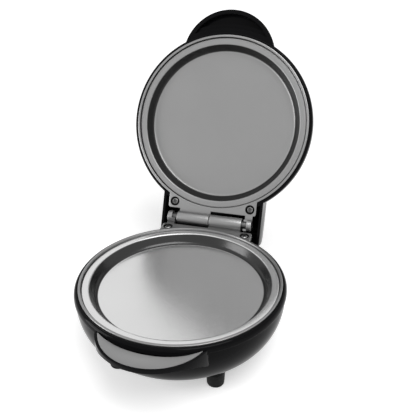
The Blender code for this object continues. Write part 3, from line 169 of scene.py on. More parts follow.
def joined(piece, operation, *tools):
    for tool in tools:
        step = piece.modifiers.new("shape", "BOOLEAN")
        step.operation = operation
        step.solver = "EXACT"
        step.object = tool
        result = plainMesh(piece)
        piece.modifiers.clear()
        piece.data = result
        bpy.data.objects.remove(tool, do_unlink=True)
    return piece


def added(piece, *tools):
    return joined(piece, "UNION", *tools)


def cutAway(piece, *tools):
    return joined(piece, "DIFFERENCE", *tools)


def softenWhere(piece, chosen, width, steps=3, sharp=25):
    # rounds the outward edges whose middle passes the test
    shape = bmesh.new()
    shape.from_mesh(piece.data)
    bmesh.ops.remove_doubles(shape, verts=shape.verts, dist=weld)
    bmesh.ops.dissolve_degenerate(shape, dist=weld, edges=shape.edges)
    picked = []
    for edge in shape.edges:
        if len(edge.link_faces) == 2 and edge.calc_face_angle_signed() > math.radians(sharp):
            if chosen((edge.verts[0].co + edge.verts[1].co) / 2):
                picked.append(edge)
    if picked:
        bmesh.ops.bevel(shape, geom=picked, offset=width, segments=steps, affect="EDGES",
                        profile=0.5, clamp_overlap=True, miter_outer="ARC")
    shape.to_mesh(piece.data)
    shape.free()
    return piece


def settled(piece, name, place, body, slotName, material, *nodes, sharp=35):
    # brings a piece into the world in metres, shades it and hangs it on its body
    piece.name = name
    piece.data.name = name
    piece.data.transform(place)
    shape = bmesh.new()
    shape.from_mesh(piece.data)
    bmesh.ops.remove_doubles(shape, verts=shape.verts, dist=weld * mm / 2)
    shape.to_mesh(piece.data)
    shape.free()
    piece.data.materials.clear()
    piece.data.materials.append(material)
    piece.data.shade_smooth()
    piece.data.set_sharp_from_angle(angle=math.radians(sharp))
    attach(piece, body)
    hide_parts(*nodes)


# shared effects

def newGroup(name, inputs, output, kind="NodeSocketFloat"):
    # an input is a colour, a place or a number, as its starting value is
    group = bpy.data.node_groups.new(name, "ShaderNodeTree")
    kinds = {4: "NodeSocketColor", 3: "NodeSocketVector", 1: "NodeSocketFloat"}
    for label, value in inputs.items():
        count = len(value) if isinstance(value, tuple) else 1
        socket = group.interface.new_socket(name=label, in_out="INPUT", socket_type=kinds[count])
        socket.default_value = value
    group.interface.new_socket(name=output, in_out="OUTPUT", socket_type=kind)
    return group, group.nodes.new("NodeGroupInput"), group.nodes.new("NodeGroupOutput")


def feed(tree, source, socket):
    # sets a plain number on the socket, or links another socket to it
    if isinstance(source, (int, float)):
        socket.default_value = source
    else:
        tree.links.new(source, socket)


def mathNode(tree, operation, *values):
    node = tree.nodes.new("ShaderNodeMath")
    node.operation = operation
    for socket, value in zip(node.inputs, values):
        feed(tree, value, socket)
    return node.outputs[0]


def rangeNode(tree, values, kind="LINEAR"):
    node = tree.nodes.new("ShaderNodeMapRange")
    node.interpolation_type = kind
    for label, value in values.items():
        feed(tree, value, node.inputs[label])
    return node.outputs["Result"]


def ownNoise(group, size, detail):
    # noise of the given size in the piece's own frame
    place = group.nodes.new("ShaderNodeTexCoord")
    noise = group.nodes.new("ShaderNodeTexNoise")
    noise.inputs["Detail"].default_value = detail
    group.links.new(place.outputs["Object"], noise.inputs["Vector"])
    group.links.new(size, noise.inputs["Scale"])
    return noise.outputs["Fac"]


# shares of the noise where its low and high ends lie, and of the corner measure where wear starts and is full
noiseLooks = {"grainDetail": 4.0, "grainLow": 0.3, "grainHigh": 0.7, "toneDetail": 3.0, "wearStart": 0.52,
              "wearFull": 0.62}


def makeFineGrain():
    # noise of one size, spread between a low and a high value
    group, entry, leave = newGroup("fineGrain", {"Size": 500.0, "Low": 0.0, "High": 1.0}, "Value")
    noise = ownNoise(group, entry.outputs["Size"], noiseLooks["grainDetail"])
    value = rangeNode(group, {"Value": noise, "From Min": noiseLooks["grainLow"],
                              "From Max": noiseLooks["grainHigh"], "To Min": entry.outputs["Low"],
                              "To Max": entry.outputs["High"]})
    group.links.new(value, leave.inputs["Value"])
    return group


def colourMix(tree, amount, first, second):
    # blends two colours, each a socket or plain red, green and blue
    mix = tree.nodes.new("ShaderNodeMix")
    mix.data_type = "RGBA"
    tree.links.new(amount, mix.inputs["Factor"])
    for socket, source in zip([socket for socket in mix.inputs if socket.type == "RGBA"], (first, second)):
        if isinstance(source, tuple):
            socket.default_value = (*source, 1)
        else:
            tree.links.new(source, socket)
    return [socket for socket in mix.outputs if socket.type == "RGBA"][0]


def makeTwoTone():
    # slow change between two colours, with worn corners in a third
    middle = (0.5, 0.5, 0.5, 1)
    inputs = {"Size": 30.0, "Colour": middle, "Other": middle, "Worn": (0.8, 0.8, 0.8, 1), "Wear": 0.0}
    group, entry, leave = newGroup("twoTone", inputs, "Colour", "NodeSocketColor")
    noise = ownNoise(group, entry.outputs["Size"], noiseLooks["toneDetail"])
    blended = colourMix(group, noise, entry.outputs["Colour"], entry.outputs["Other"])
    corner = group.nodes.new("ShaderNodeNewGeometry")
    rubbed = rangeNode(group, {"Value": corner.outputs["Pointiness"], "From Min": noiseLooks["wearStart"],
                               "From Max": noiseLooks["wearFull"]})
    amount = mathNode(group, "MULTIPLY", rubbed, entry.outputs["Wear"])
    group.links.new(colourMix(group, amount, blended, entry.outputs["Worn"]), leave.inputs["Colour"])
    return group


braidLooks = {"turn": 0.785, "distortion": 0.6, "size": 900.0, "depth": 0.05}


def makeBraid():
    # crossed threads of a woven sleeve, as a height
    group, entry, leave = newGroup("braid", {"Size": braidLooks["size"]}, "Height")
    nodes, links = group.nodes, group.links
    place = nodes.new("ShaderNodeTexCoord")
    threads = []
    for turn in (braidLooks["turn"], -braidLooks["turn"]):
        spin = nodes.new("ShaderNodeMapping")
        spin.inputs["Rotation"].default_value = (turn, turn, turn)
        wave = nodes.new("ShaderNodeTexWave")
        wave.inputs["Distortion"].default_value = braidLooks["distortion"]
        links.new(place.outputs["Object"], spin.inputs["Vector"])
        links.new(spin.outputs["Vector"], wave.inputs["Vector"])
        links.new(entry.outputs["Size"], wave.inputs["Scale"])
        threads.append(wave.outputs["Fac"])
    links.new(mathNode(group, "MAXIMUM", *threads), leave.inputs["Height"])
    return group


def ownPlace(group, entry):
    # the surface's place in metres about the middle of its own silver ring, as x, y sockets
    nodes, links = group.nodes, group.links
    place = nodes.new("ShaderNodeTexCoord")
    back = nodes.new("ShaderNodeMapping")
    back.vector_type = "TEXTURE"
    parts = nodes.new("ShaderNodeSeparateXYZ")
    links.new(place.outputs["Object"], back.inputs["Vector"])
    links.new(entry.outputs["Centre"], back.inputs["Location"])
    links.new(entry.outputs["Turn"], back.inputs["Rotation"])
    links.new(back.outputs["Vector"], parts.inputs["Vector"])
    return parts.outputs["X"], parts.outputs["Y"]


placeInputs = {"Centre": (0, 0, 0), "Turn": (0, 0, 0)}


def softStep(group, value, start, end):
    # rises smoothly from zero at the start to one at the end
    return rangeNode(group, {"Value": value, "From Min": start, "From Max": end}, "SMOOTHSTEP")


def spanOf(group, across, along):
    square = mathNode(group, "ADD", mathNode(group, "MULTIPLY", across, across),
                      mathNode(group, "MULTIPLY", along, along))
    return mathNode(group, "SQRT", square)


def makePaintedShadeBand():
    # mask of a band between two radii about the ring's middle, where shade is painted
    inputs = {**placeInputs, "Inner": 0.05, "Outer": 0.06, "Fade": 0.001}
    group, entry, leave = newGroup("paintedShadeBand", inputs, "Mask")
    inner, outer, fade = (entry.outputs[label] for label in ("Inner", "Outer", "Fade"))
    radius = spanOf(group, *ownPlace(group, entry))
    rise = softStep(group, radius, mathNode(group, "SUBTRACT", inner, fade), inner)
    fall = softStep(group, radius, outer, mathNode(group, "ADD", outer, fade))
    group.links.new(mathNode(group, "SUBTRACT", rise, fall), leave.inputs["Mask"])
    return group


spotEdgeShare = 1.06    # where a spot's soft edge ends, as a share of its size


def makePaintedShadeSpots():
    # mask of two round spots where shade is painted, alike on both sides of the middle, each with a thin soft
    # edge
    inputs = {**placeInputs, "Side": 0.03, "Back": 0.06, "Size": 0.003}
    group, entry, leave = newGroup("paintedShadeSpots", inputs, "Mask")
    x, y = ownPlace(group, entry)
    across = mathNode(group, "SUBTRACT", mathNode(group, "ABSOLUTE", x), entry.outputs["Side"])
    along = mathNode(group, "SUBTRACT", y, entry.outputs["Back"])
    size = entry.outputs["Size"]
    edge = mathNode(group, "MULTIPLY", size, spotEdgeShare)
    far = softStep(group, spanOf(group, across, along), size, edge)
    group.links.new(mathNode(group, "SUBTRACT", 1.0, far), leave.inputs["Mask"])
    return group


fineGrain = makeFineGrain()
twoTone = makeTwoTone()
braid = makeBraid()
paintedShadeBand = makePaintedShadeBand()
paintedShadeSpots = makePaintedShadeSpots()


def placeGroup(material, group, values):
    node = material.node_tree.nodes.new("ShaderNodeGroup")
    node.node_tree = group
    for label, value in values.items():
        node.inputs[label].default_value = value
    return node


def roughened(material, height, depth):
    lift = material.node_tree.nodes.new("ShaderNodeBump")
    lift.inputs["Distance"].default_value = depth * mm
    shader = material.node_tree.nodes["Principled BSDF"]
    material.node_tree.links.new(height, lift.inputs["Height"])
    material.node_tree.links.new(lift.outputs["Normal"], shader.inputs["Normal"])


def makeFinish(name, colour, other, roughness, metallic=0.0, grain=500.0, bump=0.0, bumpSize=1500.0,
               worn=None, wear=0.0, toneSize=30.0, specular=0.5):
    # one finish: two close tones, roughness that varies, and a fine surface relief
    material = bpy.data.materials.new(name)
    material.use_nodes = True
    links = material.node_tree.links
    shader = material.node_tree.nodes["Principled BSDF"]
    shader.inputs["Metallic"].default_value = metallic
    shader.inputs["Specular IOR Level"].default_value = specular
    tone = placeGroup(material, twoTone, {"Size": toneSize, "Colour": (*colour, 1), "Other": (*other, 1),
                                          "Worn": (*(worn or other), 1), "Wear": wear})
    rough = placeGroup(material, fineGrain, {"Size": grain, "Low": roughness[0], "High": roughness[1]})
    links.new(tone.outputs["Colour"], shader.inputs["Base Color"])
    links.new(rough.outputs["Value"], shader.inputs["Roughness"])
    if bump:
        relief = placeGroup(material, fineGrain, {"Size": bumpSize, "Low": 0.0, "High": 1.0})
        roughened(material, relief.outputs["Value"], bump)
    return material


def grey(value):
    return (value, value, value)


def addPaintedShade(material, place, group, values, colour):
    # painted shade: a darker zone of the finish, where a group's mask says
    spot, turn, _ = place.decompose()
    shadeZone = placeGroup(material, group, {"Centre": spot, "Turn": turn.to_euler(), **values})
    base = material.node_tree.nodes["Principled BSDF"].inputs["Base Color"]
    mixed = colourMix(material.node_tree, shadeZone.outputs["Mask"], base.links[0].from_socket, colour)
    material.node_tree.links.new(mixed, base)


# bump is a depth in mm, the sizes count noise cells per metre
finishLooks = {
    "glossBlack": {"colour": (0.0030, 0.0030, 0.0034), "other": (0.0045, 0.0045, 0.0050),
                   "roughness": (0.06, 0.11), "grain": 90.0, "bump": 0.0012, "bumpSize": 260.0,
                   "specular": 0.045},
    "silverTrim": {"colour": grey(0.34), "other": grey(0.36), "roughness": (0.40, 0.48), "metallic": 0.3,
                   "grain": 1200.0, "bump": 0.002, "bumpSize": 2500.0},
    "screwSteel": {"colour": grey(0.60), "other": grey(0.66), "roughness": (0.22, 0.32), "metallic": 1.0,
                   "grain": 1500.0, "bump": 0.002, "bumpSize": 2200.0, "worn": grey(0.85), "wear": 0.6},
    "darkSteel": {"colour": grey(0.07), "other": grey(0.10), "roughness": (0.3, 0.4), "metallic": 0.9,
                  "grain": 1500.0, "bump": 0.002, "bumpSize": 2200.0, "worn": grey(0.5), "wear": 0.8},
    "blackRubber": {"colour": grey(0.008), "other": grey(0.013), "roughness": (0.55, 0.72), "grain": 600.0,
                    "bump": 0.01, "bumpSize": 1600.0, "specular": 0.12},
    "heaterSheath": {"colour": (0.24, 0.22, 0.20), "other": (0.32, 0.27, 0.22), "roughness": (0.4, 0.6),
                     "metallic": 1.0, "grain": 400.0, "bump": 0.01, "bumpSize": 900.0, "toneSize": 80.0},
    "platedSheet": {"colour": (0.58, 0.58, 0.56), "other": (0.64, 0.64, 0.63), "roughness": (0.3, 0.42),
                    "metallic": 1.0, "grain": 300.0, "bump": 0.004, "bumpSize": 700.0, "toneSize": 60.0},
    "lightSheet": {"colour": grey(0.66), "other": grey(0.70), "roughness": (0.34, 0.46), "metallic": 1.0,
                   "grain": 300.0, "bump": 0.004, "bumpSize": 700.0},
    "ceramic": {"colour": (0.72, 0.69, 0.62), "other": (0.76, 0.74, 0.68), "roughness": (0.4, 0.55),
                "grain": 500.0, "bump": 0.01, "bumpSize": 1300.0},
    "leadSleeve": {"colour": (0.58, 0.57, 0.53), "other": (0.64, 0.63, 0.60), "roughness": (0.6, 0.75),
                   "grain": 900.0},
    # the two plates share one coating: the base's copy is lighter and more metallic as painted light, the
    # lid's copy darker and less metallic as painted shade
    "baseCoatingPaintedLightShade": {"colour": grey(0.68), "other": grey(0.72), "roughness": (0.19, 0.24), "metallic": 0.95,
                    "grain": 700.0, "bump": 0.003, "bumpSize": 1800.0, "worn": grey(0.864), "wear": 0.3},
    "lidCoatingPaintedLightShade": {"colour": grey(0.24), "other": grey(0.27), "roughness": (0.30, 0.38), "metallic": 0.35,
                   "grain": 700.0, "bump": 0.003, "bumpSize": 1800.0, "worn": grey(0.324), "wear": 0.3},
    "baseMetal": {"colour": grey(0.24), "other": grey(0.28), "roughness": (0.28, 0.38), "metallic": 0.9,
                  "grain": 900.0, "bump": 0.003, "bumpSize": 1400.0, "worn": grey(0.42), "wear": 0.4},
}
finishLooks["lidMetal"] = finishLooks["baseMetal"]
finishes = {name: makeFinish(name, **looks) for name, looks in finishLooks.items()}
weave = placeGroup(finishes["leadSleeve"], braid, {"Size": braidLooks["size"]})
roughened(finishes["leadSleeve"], weave.outputs["Height"], braidLooks["depth"])

# the base's pieces stand as drawn, the lid's copies of them turned over
sides = {"base": basePlace, "lid": lidPlace @ flipped}

# dark zones of painted shade, in metres, each with its tone: the steep wall of a plate's well, and the ear
# screws' seats
seatPaintedShade = (paintedShadeSpots, {"Side": 0.0282, "Back": 0.0601, "Size": 0.0033}, 0.004)
baseWellPaintedShade = (paintedShadeBand, {"Inner": 0.0521, "Outer": 0.0564, "Fade": 0.0006}, 0.045)
lidWellPaintedShade = (paintedShadeBand, {"Inner": 0.0532, "Outer": 0.0564, "Fade": 0.0006}, 0.006)
paintedShadeZones = {"base": {"CoatingPaintedLightShade": baseWellPaintedShade, "Metal": seatPaintedShade}, "lid": {"CoatingPaintedLightShade": lidWellPaintedShade, "Metal": seatPaintedShade}}
for body, shadeZones in paintedShadeZones.items():
    for kind, (group, values, tone) in shadeZones.items():
        addPaintedShade(finishes[body + kind], sides[body], group, values, grey(tone))
print("finishes made:", len(finishes))


# cooking plates
plate = {"drop": 1.45, "wellDepth": 6.45, "floorRadius": 53.2, "wellTop": 56.75, "radius": 61.2, "rim": 2.0,
         "thick": 2.6, "floorFillet": 2.2, "edgeFillet": 1.1, "rimTopFillet": 0.6, "fillet": 0.3, "steps": 6,
         "backOuter": 58.5, "backInner": 55.5, "backFillet": 0.8, "posts": 3, "firstPost": 30,
         "postCircle": 22.0, "post": 3.5, "postEnd": -16.4, "postSink": 1, "postEdge": 0.4, "screwHole": 1.8}


def makePlate():
    top = -plate["drop"]
    floor = top - plate["wellDepth"]
    back = floor - plate["thick"]
    under = top - plate["rim"]
    outline = [(0, floor, 0), (plate["floorRadius"], floor, plate["floorFillet"]),
               (plate["wellTop"], top, plate["edgeFillet"]), (plate["radius"], top, plate["rimTopFillet"]),
               (plate["radius"], under), (plate["backOuter"], under),
               (plate["backInner"], back, plate["backFillet"]), (0, back, 0)]
    piece = turned(softened(outline, plate["fillet"], plate["steps"]))
    for i in range(plate["posts"]):
        turn = math.radians(plate["firstPost"] + 360 * i / plate["posts"])
        spot = (plate["postCircle"] * math.cos(turn), plate["postCircle"] * math.sin(turn))
        added(piece, bar(plate["post"], plate["postEnd"], back + plate["postSink"], postSteps, spot,
                         edge=plate["postEdge"]))
        cutAway(piece, bar(plate["screwHole"], plate["postEnd"] - past, back - gap, holeSteps, spot))
    return piece


# the base plate takes the lighter copy of the coating and the lid plate the darker one, as painted light and
# painted shade
for body, half in (("base", "lower"), ("lid", "upper")):
    settled(makePlate(), half + "PlateDish", sides[body], body, "coated_plate", finishes[body + "CoatingPaintedLightShade"],
            half + "_plate")
print("plates made")


# silver ring with its ear, barrel and lug
ring = {"inner": 61.7, "outer": 63.3, "back": -4.95, "ledgeInner": 59.6, "ledgeTop": -3.75,
        "innerFillet": 0.35, "outerFillet": 0.45, "fillet": 0.2, "ledgeFillet": 0.1, "earHalf": 32.8,
        "earReach": 64.9, "earThick": 2.5, "earCorner": 2.0, "earFillet": 0.4, "screwX": 28.2, "screwY": 60.1,
        "headRoom": 2.8, "headSink": 1.6, "hole": 1.8, "holeEnd": -8, "seatBevel": 0.4, "seatTop": 0.05}
knuckle = {"barrel": 4.6, "barrelStart": 0.2, "barrelEnd": 23.9, "lug": 4.2, "lugStart": 25.1, "lugEnd": 31.0,
           "tongueInset": 0.25, "tongueStart": 62.4, "tongueEnd": 70.1, "bore": 2.8, "notch": 2.6,
           "notchBase": 1.0, "notchSide": 0.6, "notchReach": 8, "pin": 2.5, "pinLength": 16.0, "edge": 0.5,
           "pinEdge": 0.4, "boreReach": 34, "slotX": 8.0, "slotLength": 5.4, "slotWidth": 3.8, "slotLow": -6}
hingeLine = (hinge["reach"], hinge["rise"])


def makeKnuckle(radius, start, end):
    piece = bar(radius, start, end, barrelSteps, hingeLine, "X", knuckle["edge"])
    inset = knuckle["tongueInset"]
    return added(piece, box((start + inset, knuckle["tongueStart"], -ring["earThick"]),
                            (end - inset, knuckle["tongueEnd"], 0)))


def makeEar():
    middle = (ring["inner"] + ring["outer"]) / 2
    half, reach, corner = ring["earHalf"], ring["earReach"], ring["earCorner"]
    turn = math.acos(half / middle)
    outline = arc((0, 0), middle, turn, math.pi - turn, boreSteps)
    outline += arc((-half + corner, reach - corner), corner, math.pi, math.pi / 2, cornerSteps)
    outline += arc((half - corner, reach - corner), corner, math.pi / 2, 0, cornerSteps)
    return softenWhere(pushed(outline, -ring["earThick"], 0),
                       lambda p: p.z > -near and math.hypot(p.x, p.y) > middle + gap, ring["earFillet"])


def makeHingeFrame():
    outline = [(ring["inner"], 0, ring["innerFillet"]), (ring["outer"], 0, ring["outerFillet"]),
               (ring["outer"], ring["back"]), (ring["ledgeInner"], ring["back"]),
               (ring["ledgeInner"], ring["ledgeTop"]), (ring["inner"], ring["ledgeTop"], ring["ledgeFillet"])]
    piece = turned(softened(outline, ring["fillet"]))
    added(piece, makeEar(), makeKnuckle(knuckle["barrel"], knuckle["barrelStart"], knuckle["barrelEnd"]),
          makeKnuckle(knuckle["lug"], -knuckle["lugEnd"], -knuckle["lugStart"]))
    reach = knuckle["boreReach"]
    cutAway(piece, bar(knuckle["bore"], -reach, reach, boreSteps, hingeLine, "X"))
    y, z = hingeLine
    inner, reach = -knuckle["lugStart"], knuckle["notchReach"]
    cutAway(piece, box((inner - knuckle["notch"], y - reach, z + knuckle["notchBase"]),
                       (inner + knuckle["notchSide"], y + reach, z + reach)))
    middle, long, wide = knuckle["slotX"], knuckle["slotLength"] / 2, knuckle["slotWidth"] / 2
    cutAway(piece, box((middle - long, y - wide, knuckle["slotLow"]), (middle + long, y + wide, z)))
    room, sink, bevel = ring["headRoom"], ring["headSink"], ring["seatBevel"]
    seat = [(0, ring["holeEnd"]), (ring["hole"], ring["holeEnd"]), (ring["hole"], -sink), (room, -sink),
            (room, ring["seatTop"] - bevel), (room + bevel, ring["seatTop"]), (room + bevel, past), (0, past)]
    for side in (-1, 1):
        cutAway(piece, turned(seat, boreSteps, (side * ring["screwX"], ring["screwY"])))
    return piece


def makePin():
    start = -knuckle["lugEnd"]
    end = start + knuckle["pinLength"]
    return bar(knuckle["pin"], start, end, pinSteps, hingeLine, "X", knuckle["pinEdge"])


for body, place in sides.items():
    settled(makeHingeFrame(), body + "RingAndBarrel", place, body, "satin_metal", finishes[body + "Metal"],
            body + "_hinge_frame")
for body, word in (("base", "Left"), ("lid", "Right")):
    settled(makePin(), "hingePin" + word, sides[body], body, "screw_steel", finishes["darkSteel"],
            "hinge_pin_" + word.lower())
print("rings and hinge made")


# node trees for what repeats

def newTree(name, inputs):
    tree = bpy.data.node_groups.new(name, "GeometryNodeTree")
    tree.interface.new_socket(name="Geometry", in_out="INPUT", socket_type="NodeSocketGeometry")
    for label, kind in inputs:
        tree.interface.new_socket(name=label, in_out="INPUT", socket_type=kind)
    tree.interface.new_socket(name="Geometry", in_out="OUTPUT", socket_type="NodeSocketGeometry")
    return tree, tree.nodes.new("NodeGroupInput"), tree.nodes.new("NodeGroupOutput")


def lifted(tree, geometry, height):
    # moves a primitive up by a height
    spot = tree.nodes.new("ShaderNodeCombineXYZ")
    feed(tree, height, spot.inputs["Z"])
    move = tree.nodes.new("GeometryNodeTransform")
    tree.links.new(geometry, move.inputs["Geometry"])
    tree.links.new(spot.outputs["Vector"], move.inputs["Translation"])
    return move.outputs["Geometry"]


def frustum(tree, low, high, bottom, top, steps):
    # upright cone slice between two radii and two heights
    cone = tree.nodes.new("GeometryNodeMeshCone")
    cone.inputs["Vertices"].default_value = steps
    tree.links.new(low, cone.inputs["Radius Bottom"])
    tree.links.new(high, cone.inputs["Radius Top"])
    tree.links.new(mathNode(tree, "SUBTRACT", top, bottom), cone.inputs["Depth"])
    return lifted(tree, cone.outputs["Mesh"], bottom)


def merged(tree, operation, first, others):
    node = tree.nodes.new("GeometryNodeMeshBoolean")
    node.operation = operation
    node.solver = "EXACT"
    if operation == "DIFFERENCE":
        tree.links.new(first, node.inputs["Mesh 1"])
    else:
        others = [first] + others
    for other in others:
        tree.links.new(other, node.inputs["Mesh 2"])
    return node.outputs["Mesh"]


def onEachPoint(tree, entry, leave, geometry):
    # copies the geometry to the points of the incoming mesh and gives it its material
    spread = tree.nodes.new("GeometryNodeInstanceOnPoints")
    tree.links.new(entry.outputs["Geometry"], spread.inputs["Points"])
    tree.links.new(geometry, spread.inputs["Instance"])
    real = tree.nodes.new("GeometryNodeRealizeInstances")
    tree.links.new(spread.outputs["Instances"], real.inputs["Geometry"])
    paint = tree.nodes.new("GeometryNodeSetMaterial")
    tree.links.new(real.outputs["Geometry"], paint.inputs["Geometry"])
    tree.links.new(entry.outputs["Material"], paint.inputs["Material"])
    tree.links.new(paint.outputs["Geometry"], leave.inputs["Geometry"])


def sizedTree(name, sizes):
    inputs = [(size, "NodeSocketFloat") for size in sizes] + [("Material", "NodeSocketMaterial")]
    tree, entry, leave = newTree(name, inputs)
    return tree, entry, leave, [entry.outputs[size] for size in sizes]


# heights on a screw's head and on a foot, as shares of the height or edge that they belong to
crownShare, shankShare = 0.3, 0.9
edgeShare, stemShare = 0.3, 0.8
crossTurn = 20    # degrees that the cross slot is turned


def makeScrewTree():
    tree, entry, leave, sizes = sizedTree("crossHeadScrew", earScrew)
    headRadius, headHeight, crown, shankRadius, shankLength, crossWidth, crossLength, crossDepth = sizes
    crownLow = mathNode(tree, "MULTIPLY", headHeight, -crownShare)
    shoulder = mathNode(tree, "MULTIPLY", headHeight, -1.0)
    tip = mathNode(tree, "SUBTRACT", mathNode(tree, "MULTIPLY", shankLength, -1.0), headHeight)
    shankTop = mathNode(tree, "MULTIPLY", shoulder, shankShare)
    topRadius = mathNode(tree, "MULTIPLY", headRadius, crown)
    solid = merged(tree, "UNION", frustum(tree, headRadius, topRadius, crownLow, 0.0, pinSteps),
                   [frustum(tree, headRadius, headRadius, shoulder, crownLow, pinSteps),
                    frustum(tree, shankRadius, shankRadius, tip, shankTop, holeSteps)])
    arms = []
    for long, wide in ((crossLength, crossWidth), (crossWidth, crossLength)):
        shape = tree.nodes.new("ShaderNodeCombineXYZ")
        tree.links.new(long, shape.inputs["X"])
        tree.links.new(wide, shape.inputs["Y"])
        tree.links.new(mathNode(tree, "MULTIPLY", crossDepth, 2.0), shape.inputs["Z"])
        cube = tree.nodes.new("GeometryNodeMeshCube")
        tree.links.new(shape.outputs["Vector"], cube.inputs["Size"])
        turn = tree.nodes.new("GeometryNodeTransform")
        turn.inputs["Rotation"].default_value = (0, 0, math.radians(crossTurn))
        tree.links.new(cube.outputs["Mesh"], turn.inputs["Geometry"])
        arms.append(turn.outputs["Geometry"])
    onEachPoint(tree, entry, leave, merged(tree, "DIFFERENCE", solid, arms))
    return tree


def makeFootTree():
    tree, entry, leave, sizes = sizedTree("rubberFoot", foot)
    topRadius, bottomRadius, height, edge, stemRadius, stemLength = sizes
    edgeMiddle = mathNode(tree, "MULTIPLY", edge, edgeShare)
    small = mathNode(tree, "SUBTRACT", bottomRadius, edge)
    between = mathNode(tree, "SUBTRACT", bottomRadius, edgeMiddle)
    stemLow = mathNode(tree, "MULTIPLY", height, stemShare)
    stemTop = mathNode(tree, "ADD", height, stemLength)
    sole = frustum(tree, small, between, 0.0, edgeMiddle, boreSteps)
    onEachPoint(tree, entry, leave, merged(tree, "UNION", sole, [
        frustum(tree, between, bottomRadius, edgeMiddle, edge, boreSteps),
        frustum(tree, bottomRadius, topRadius, edge, height, boreSteps),
        frustum(tree, stemRadius, stemRadius, stemLow, stemTop, holeSteps)]))
    return tree


def grown(tree, points, values, material):
    # runs a tree on a few points and returns its plain mesh
    mesh = bpy.data.meshes.new("points")
    mesh.from_pydata(points, [], [])
    carrier = bpy.data.objects.new("points", mesh)
    bpy.context.scene.collection.objects.link(carrier)
    step = carrier.modifiers.new("grow", "NODES")
    step.node_group = tree
    sockets = {item.name: item.identifier for item in tree.interface.items_tree if item.in_out == "INPUT"}
    for label, value in values.items():
        step[sockets[label]] = value
    step[sockets["Material"]] = material
    result = plainMesh(carrier)
    carrier.modifiers.remove(step)
    carrier.data = result
    return carrier


earScrew = {"Head Radius": 2.1, "Head Height": 1.3, "Crown Share": 0.78, "Shank Radius": 1.5,
            "Shank Length": 7.5, "Cross Width": 0.7, "Cross Length": 2.6, "Cross Depth": 0.8}
foot = {"Top Radius": 5.7, "Bottom Radius": 5.3, "Height": 8.7, "Edge": 0.6, "Stem Radius": 2.0,
        "Stem Length": 4.3}
footPlaces = [(-31.0, -34.3), (31.0, -34.3), (-26.0, 53.0), (26.0, 53.0)]
table = -47.0    # the table below the ring's top plane

screwTree = makeScrewTree()
for body, place in sides.items():
    spots = [(side * ring["screwX"], ring["screwY"], 0) for side in (-1, 1)]
    screws = grown(screwTree, spots, earScrew, finishes["darkSteel"])
    settled(screws, body + "EarScrews", place, body, "screw_steel", finishes["darkSteel"],
            body + "_ear_screw_left", body + "_ear_screw_right")

feet = grown(makeFootTree(), [(x, y, table) for x, y in footPlaces], foot, finishes["blackRubber"])
settled(feet, "rubberFeet", basePlace, "base", "rubber", finishes["blackRubber"],
        "foot_front_left", "foot_front_right", "foot_rear_left", "foot_rear_right")
print("screws and feet made")


# black collar round the base ring
collar = {"inner": 63.6, "outer": 66.0, "top": -0.6, "bottom": -4.7, "sideTop": 0.9, "sideFillet": 0.8,
          "bottomFillet": 0.3, "tongue": 64.3, "tongueDrop": -6.7, "ledge": 61.6, "seat": -5.25,
          "innerDrop": 0.3, "innerFillet": 0.2, "fillet": 0.1, "backHalf": 33.3, "backFillet": 0.25}

# rounded rim of the collar and the lid: share of the width across, share of it down, fillet
rimShares = [(0.3, 0.0, 0.4), (0.67, 0.3, 0.8), (0.92, 0.83, 1.2)]


def roundedRim(inner, outer, top, away):
    # away is -1 where the rim's outside falls and 1 where it rises
    width = outer - inner
    return [(inner + width * across, top + away * width * along, size) for across, along, size in rimShares]


def makeCollar():
    inner, outer, top, bottom = (collar[size] for size in ("inner", "outer", "top", "bottom"))
    low, seat = collar["tongueDrop"], collar["seat"]
    outline = [(inner, top - collar["innerDrop"], collar["innerFillet"])] + roundedRim(inner, outer, top, -1)
    outline += [(outer, bottom + collar["sideTop"], collar["sideFillet"]),
                (outer, bottom, collar["bottomFillet"]), (collar["tongue"], bottom), (collar["tongue"], low),
                (collar["ledge"], low), (collar["ledge"], seat), (inner, seat)]
    piece = turned(softened(outline, collar["fillet"], rimSteps))
    half = collar["backHalf"]
    cutAway(piece, box((-half, 0, low - past), (half, outer + past, past)))
    return softenWhere(piece, lambda p: abs(abs(p.x) - half) < near, collar["backFillet"])


settled(makeCollar(), "blackCollar", basePlace, "base", "gloss_black", finishes["glossBlack"], "base_collar")

# lid housing's sizes, drawn with its ring's plane at zero and up away from the food
dome = {"radius": 66.0, "inner": 63.6, "innerRise": 0.3, "rimTop": 0.6, "sideStart": 5.0, "sideFillet": 1.2,
        "fillet": 0.3, "sideEnd": 7.0, "height": 24.9, "power": 2.6, "wall": 2.2, "ledge": 62.2,
        "ledgeThick": 1.6, "shelf": 5.25}
hood = {"half": 37.3, "start": 12.0, "reach": 87.2, "bottom": 0.6, "height": 22.0, "rearRound": 9.3,
        "roundSteps": 16, "wall": 2.0, "edge": 3.0, "edgeSteps": 10, "hollowStart": 40, "hollowSteps": 12,
        "boss": 3.6, "bossStart": 0.8, "bossSink": 1.0, "screwEnd": 9.7, "underEdge": 0.3, "underStart": 50,
        "underHalf": 34, "underBack": 84}

# half-moon outline that the lid's handle and the base's lip share
handle = {"reach": 81.4, "arc": 33.8, "steps": 96, "root": 2.0, "bottom": 1.0, "top": 8.5, "edge": 2.4,
          "underEdge": 0.5, "edgeStart": -46, "rim": 3.0, "pocketTop": 5.6, "stepTop": 3.2,
          "stepRadius": 68.2, "ledgeRadius": 71.5, "joinEdge": 0.35, "joinStart": -60}
handleMiddle = handle["arc"] - handle["reach"]

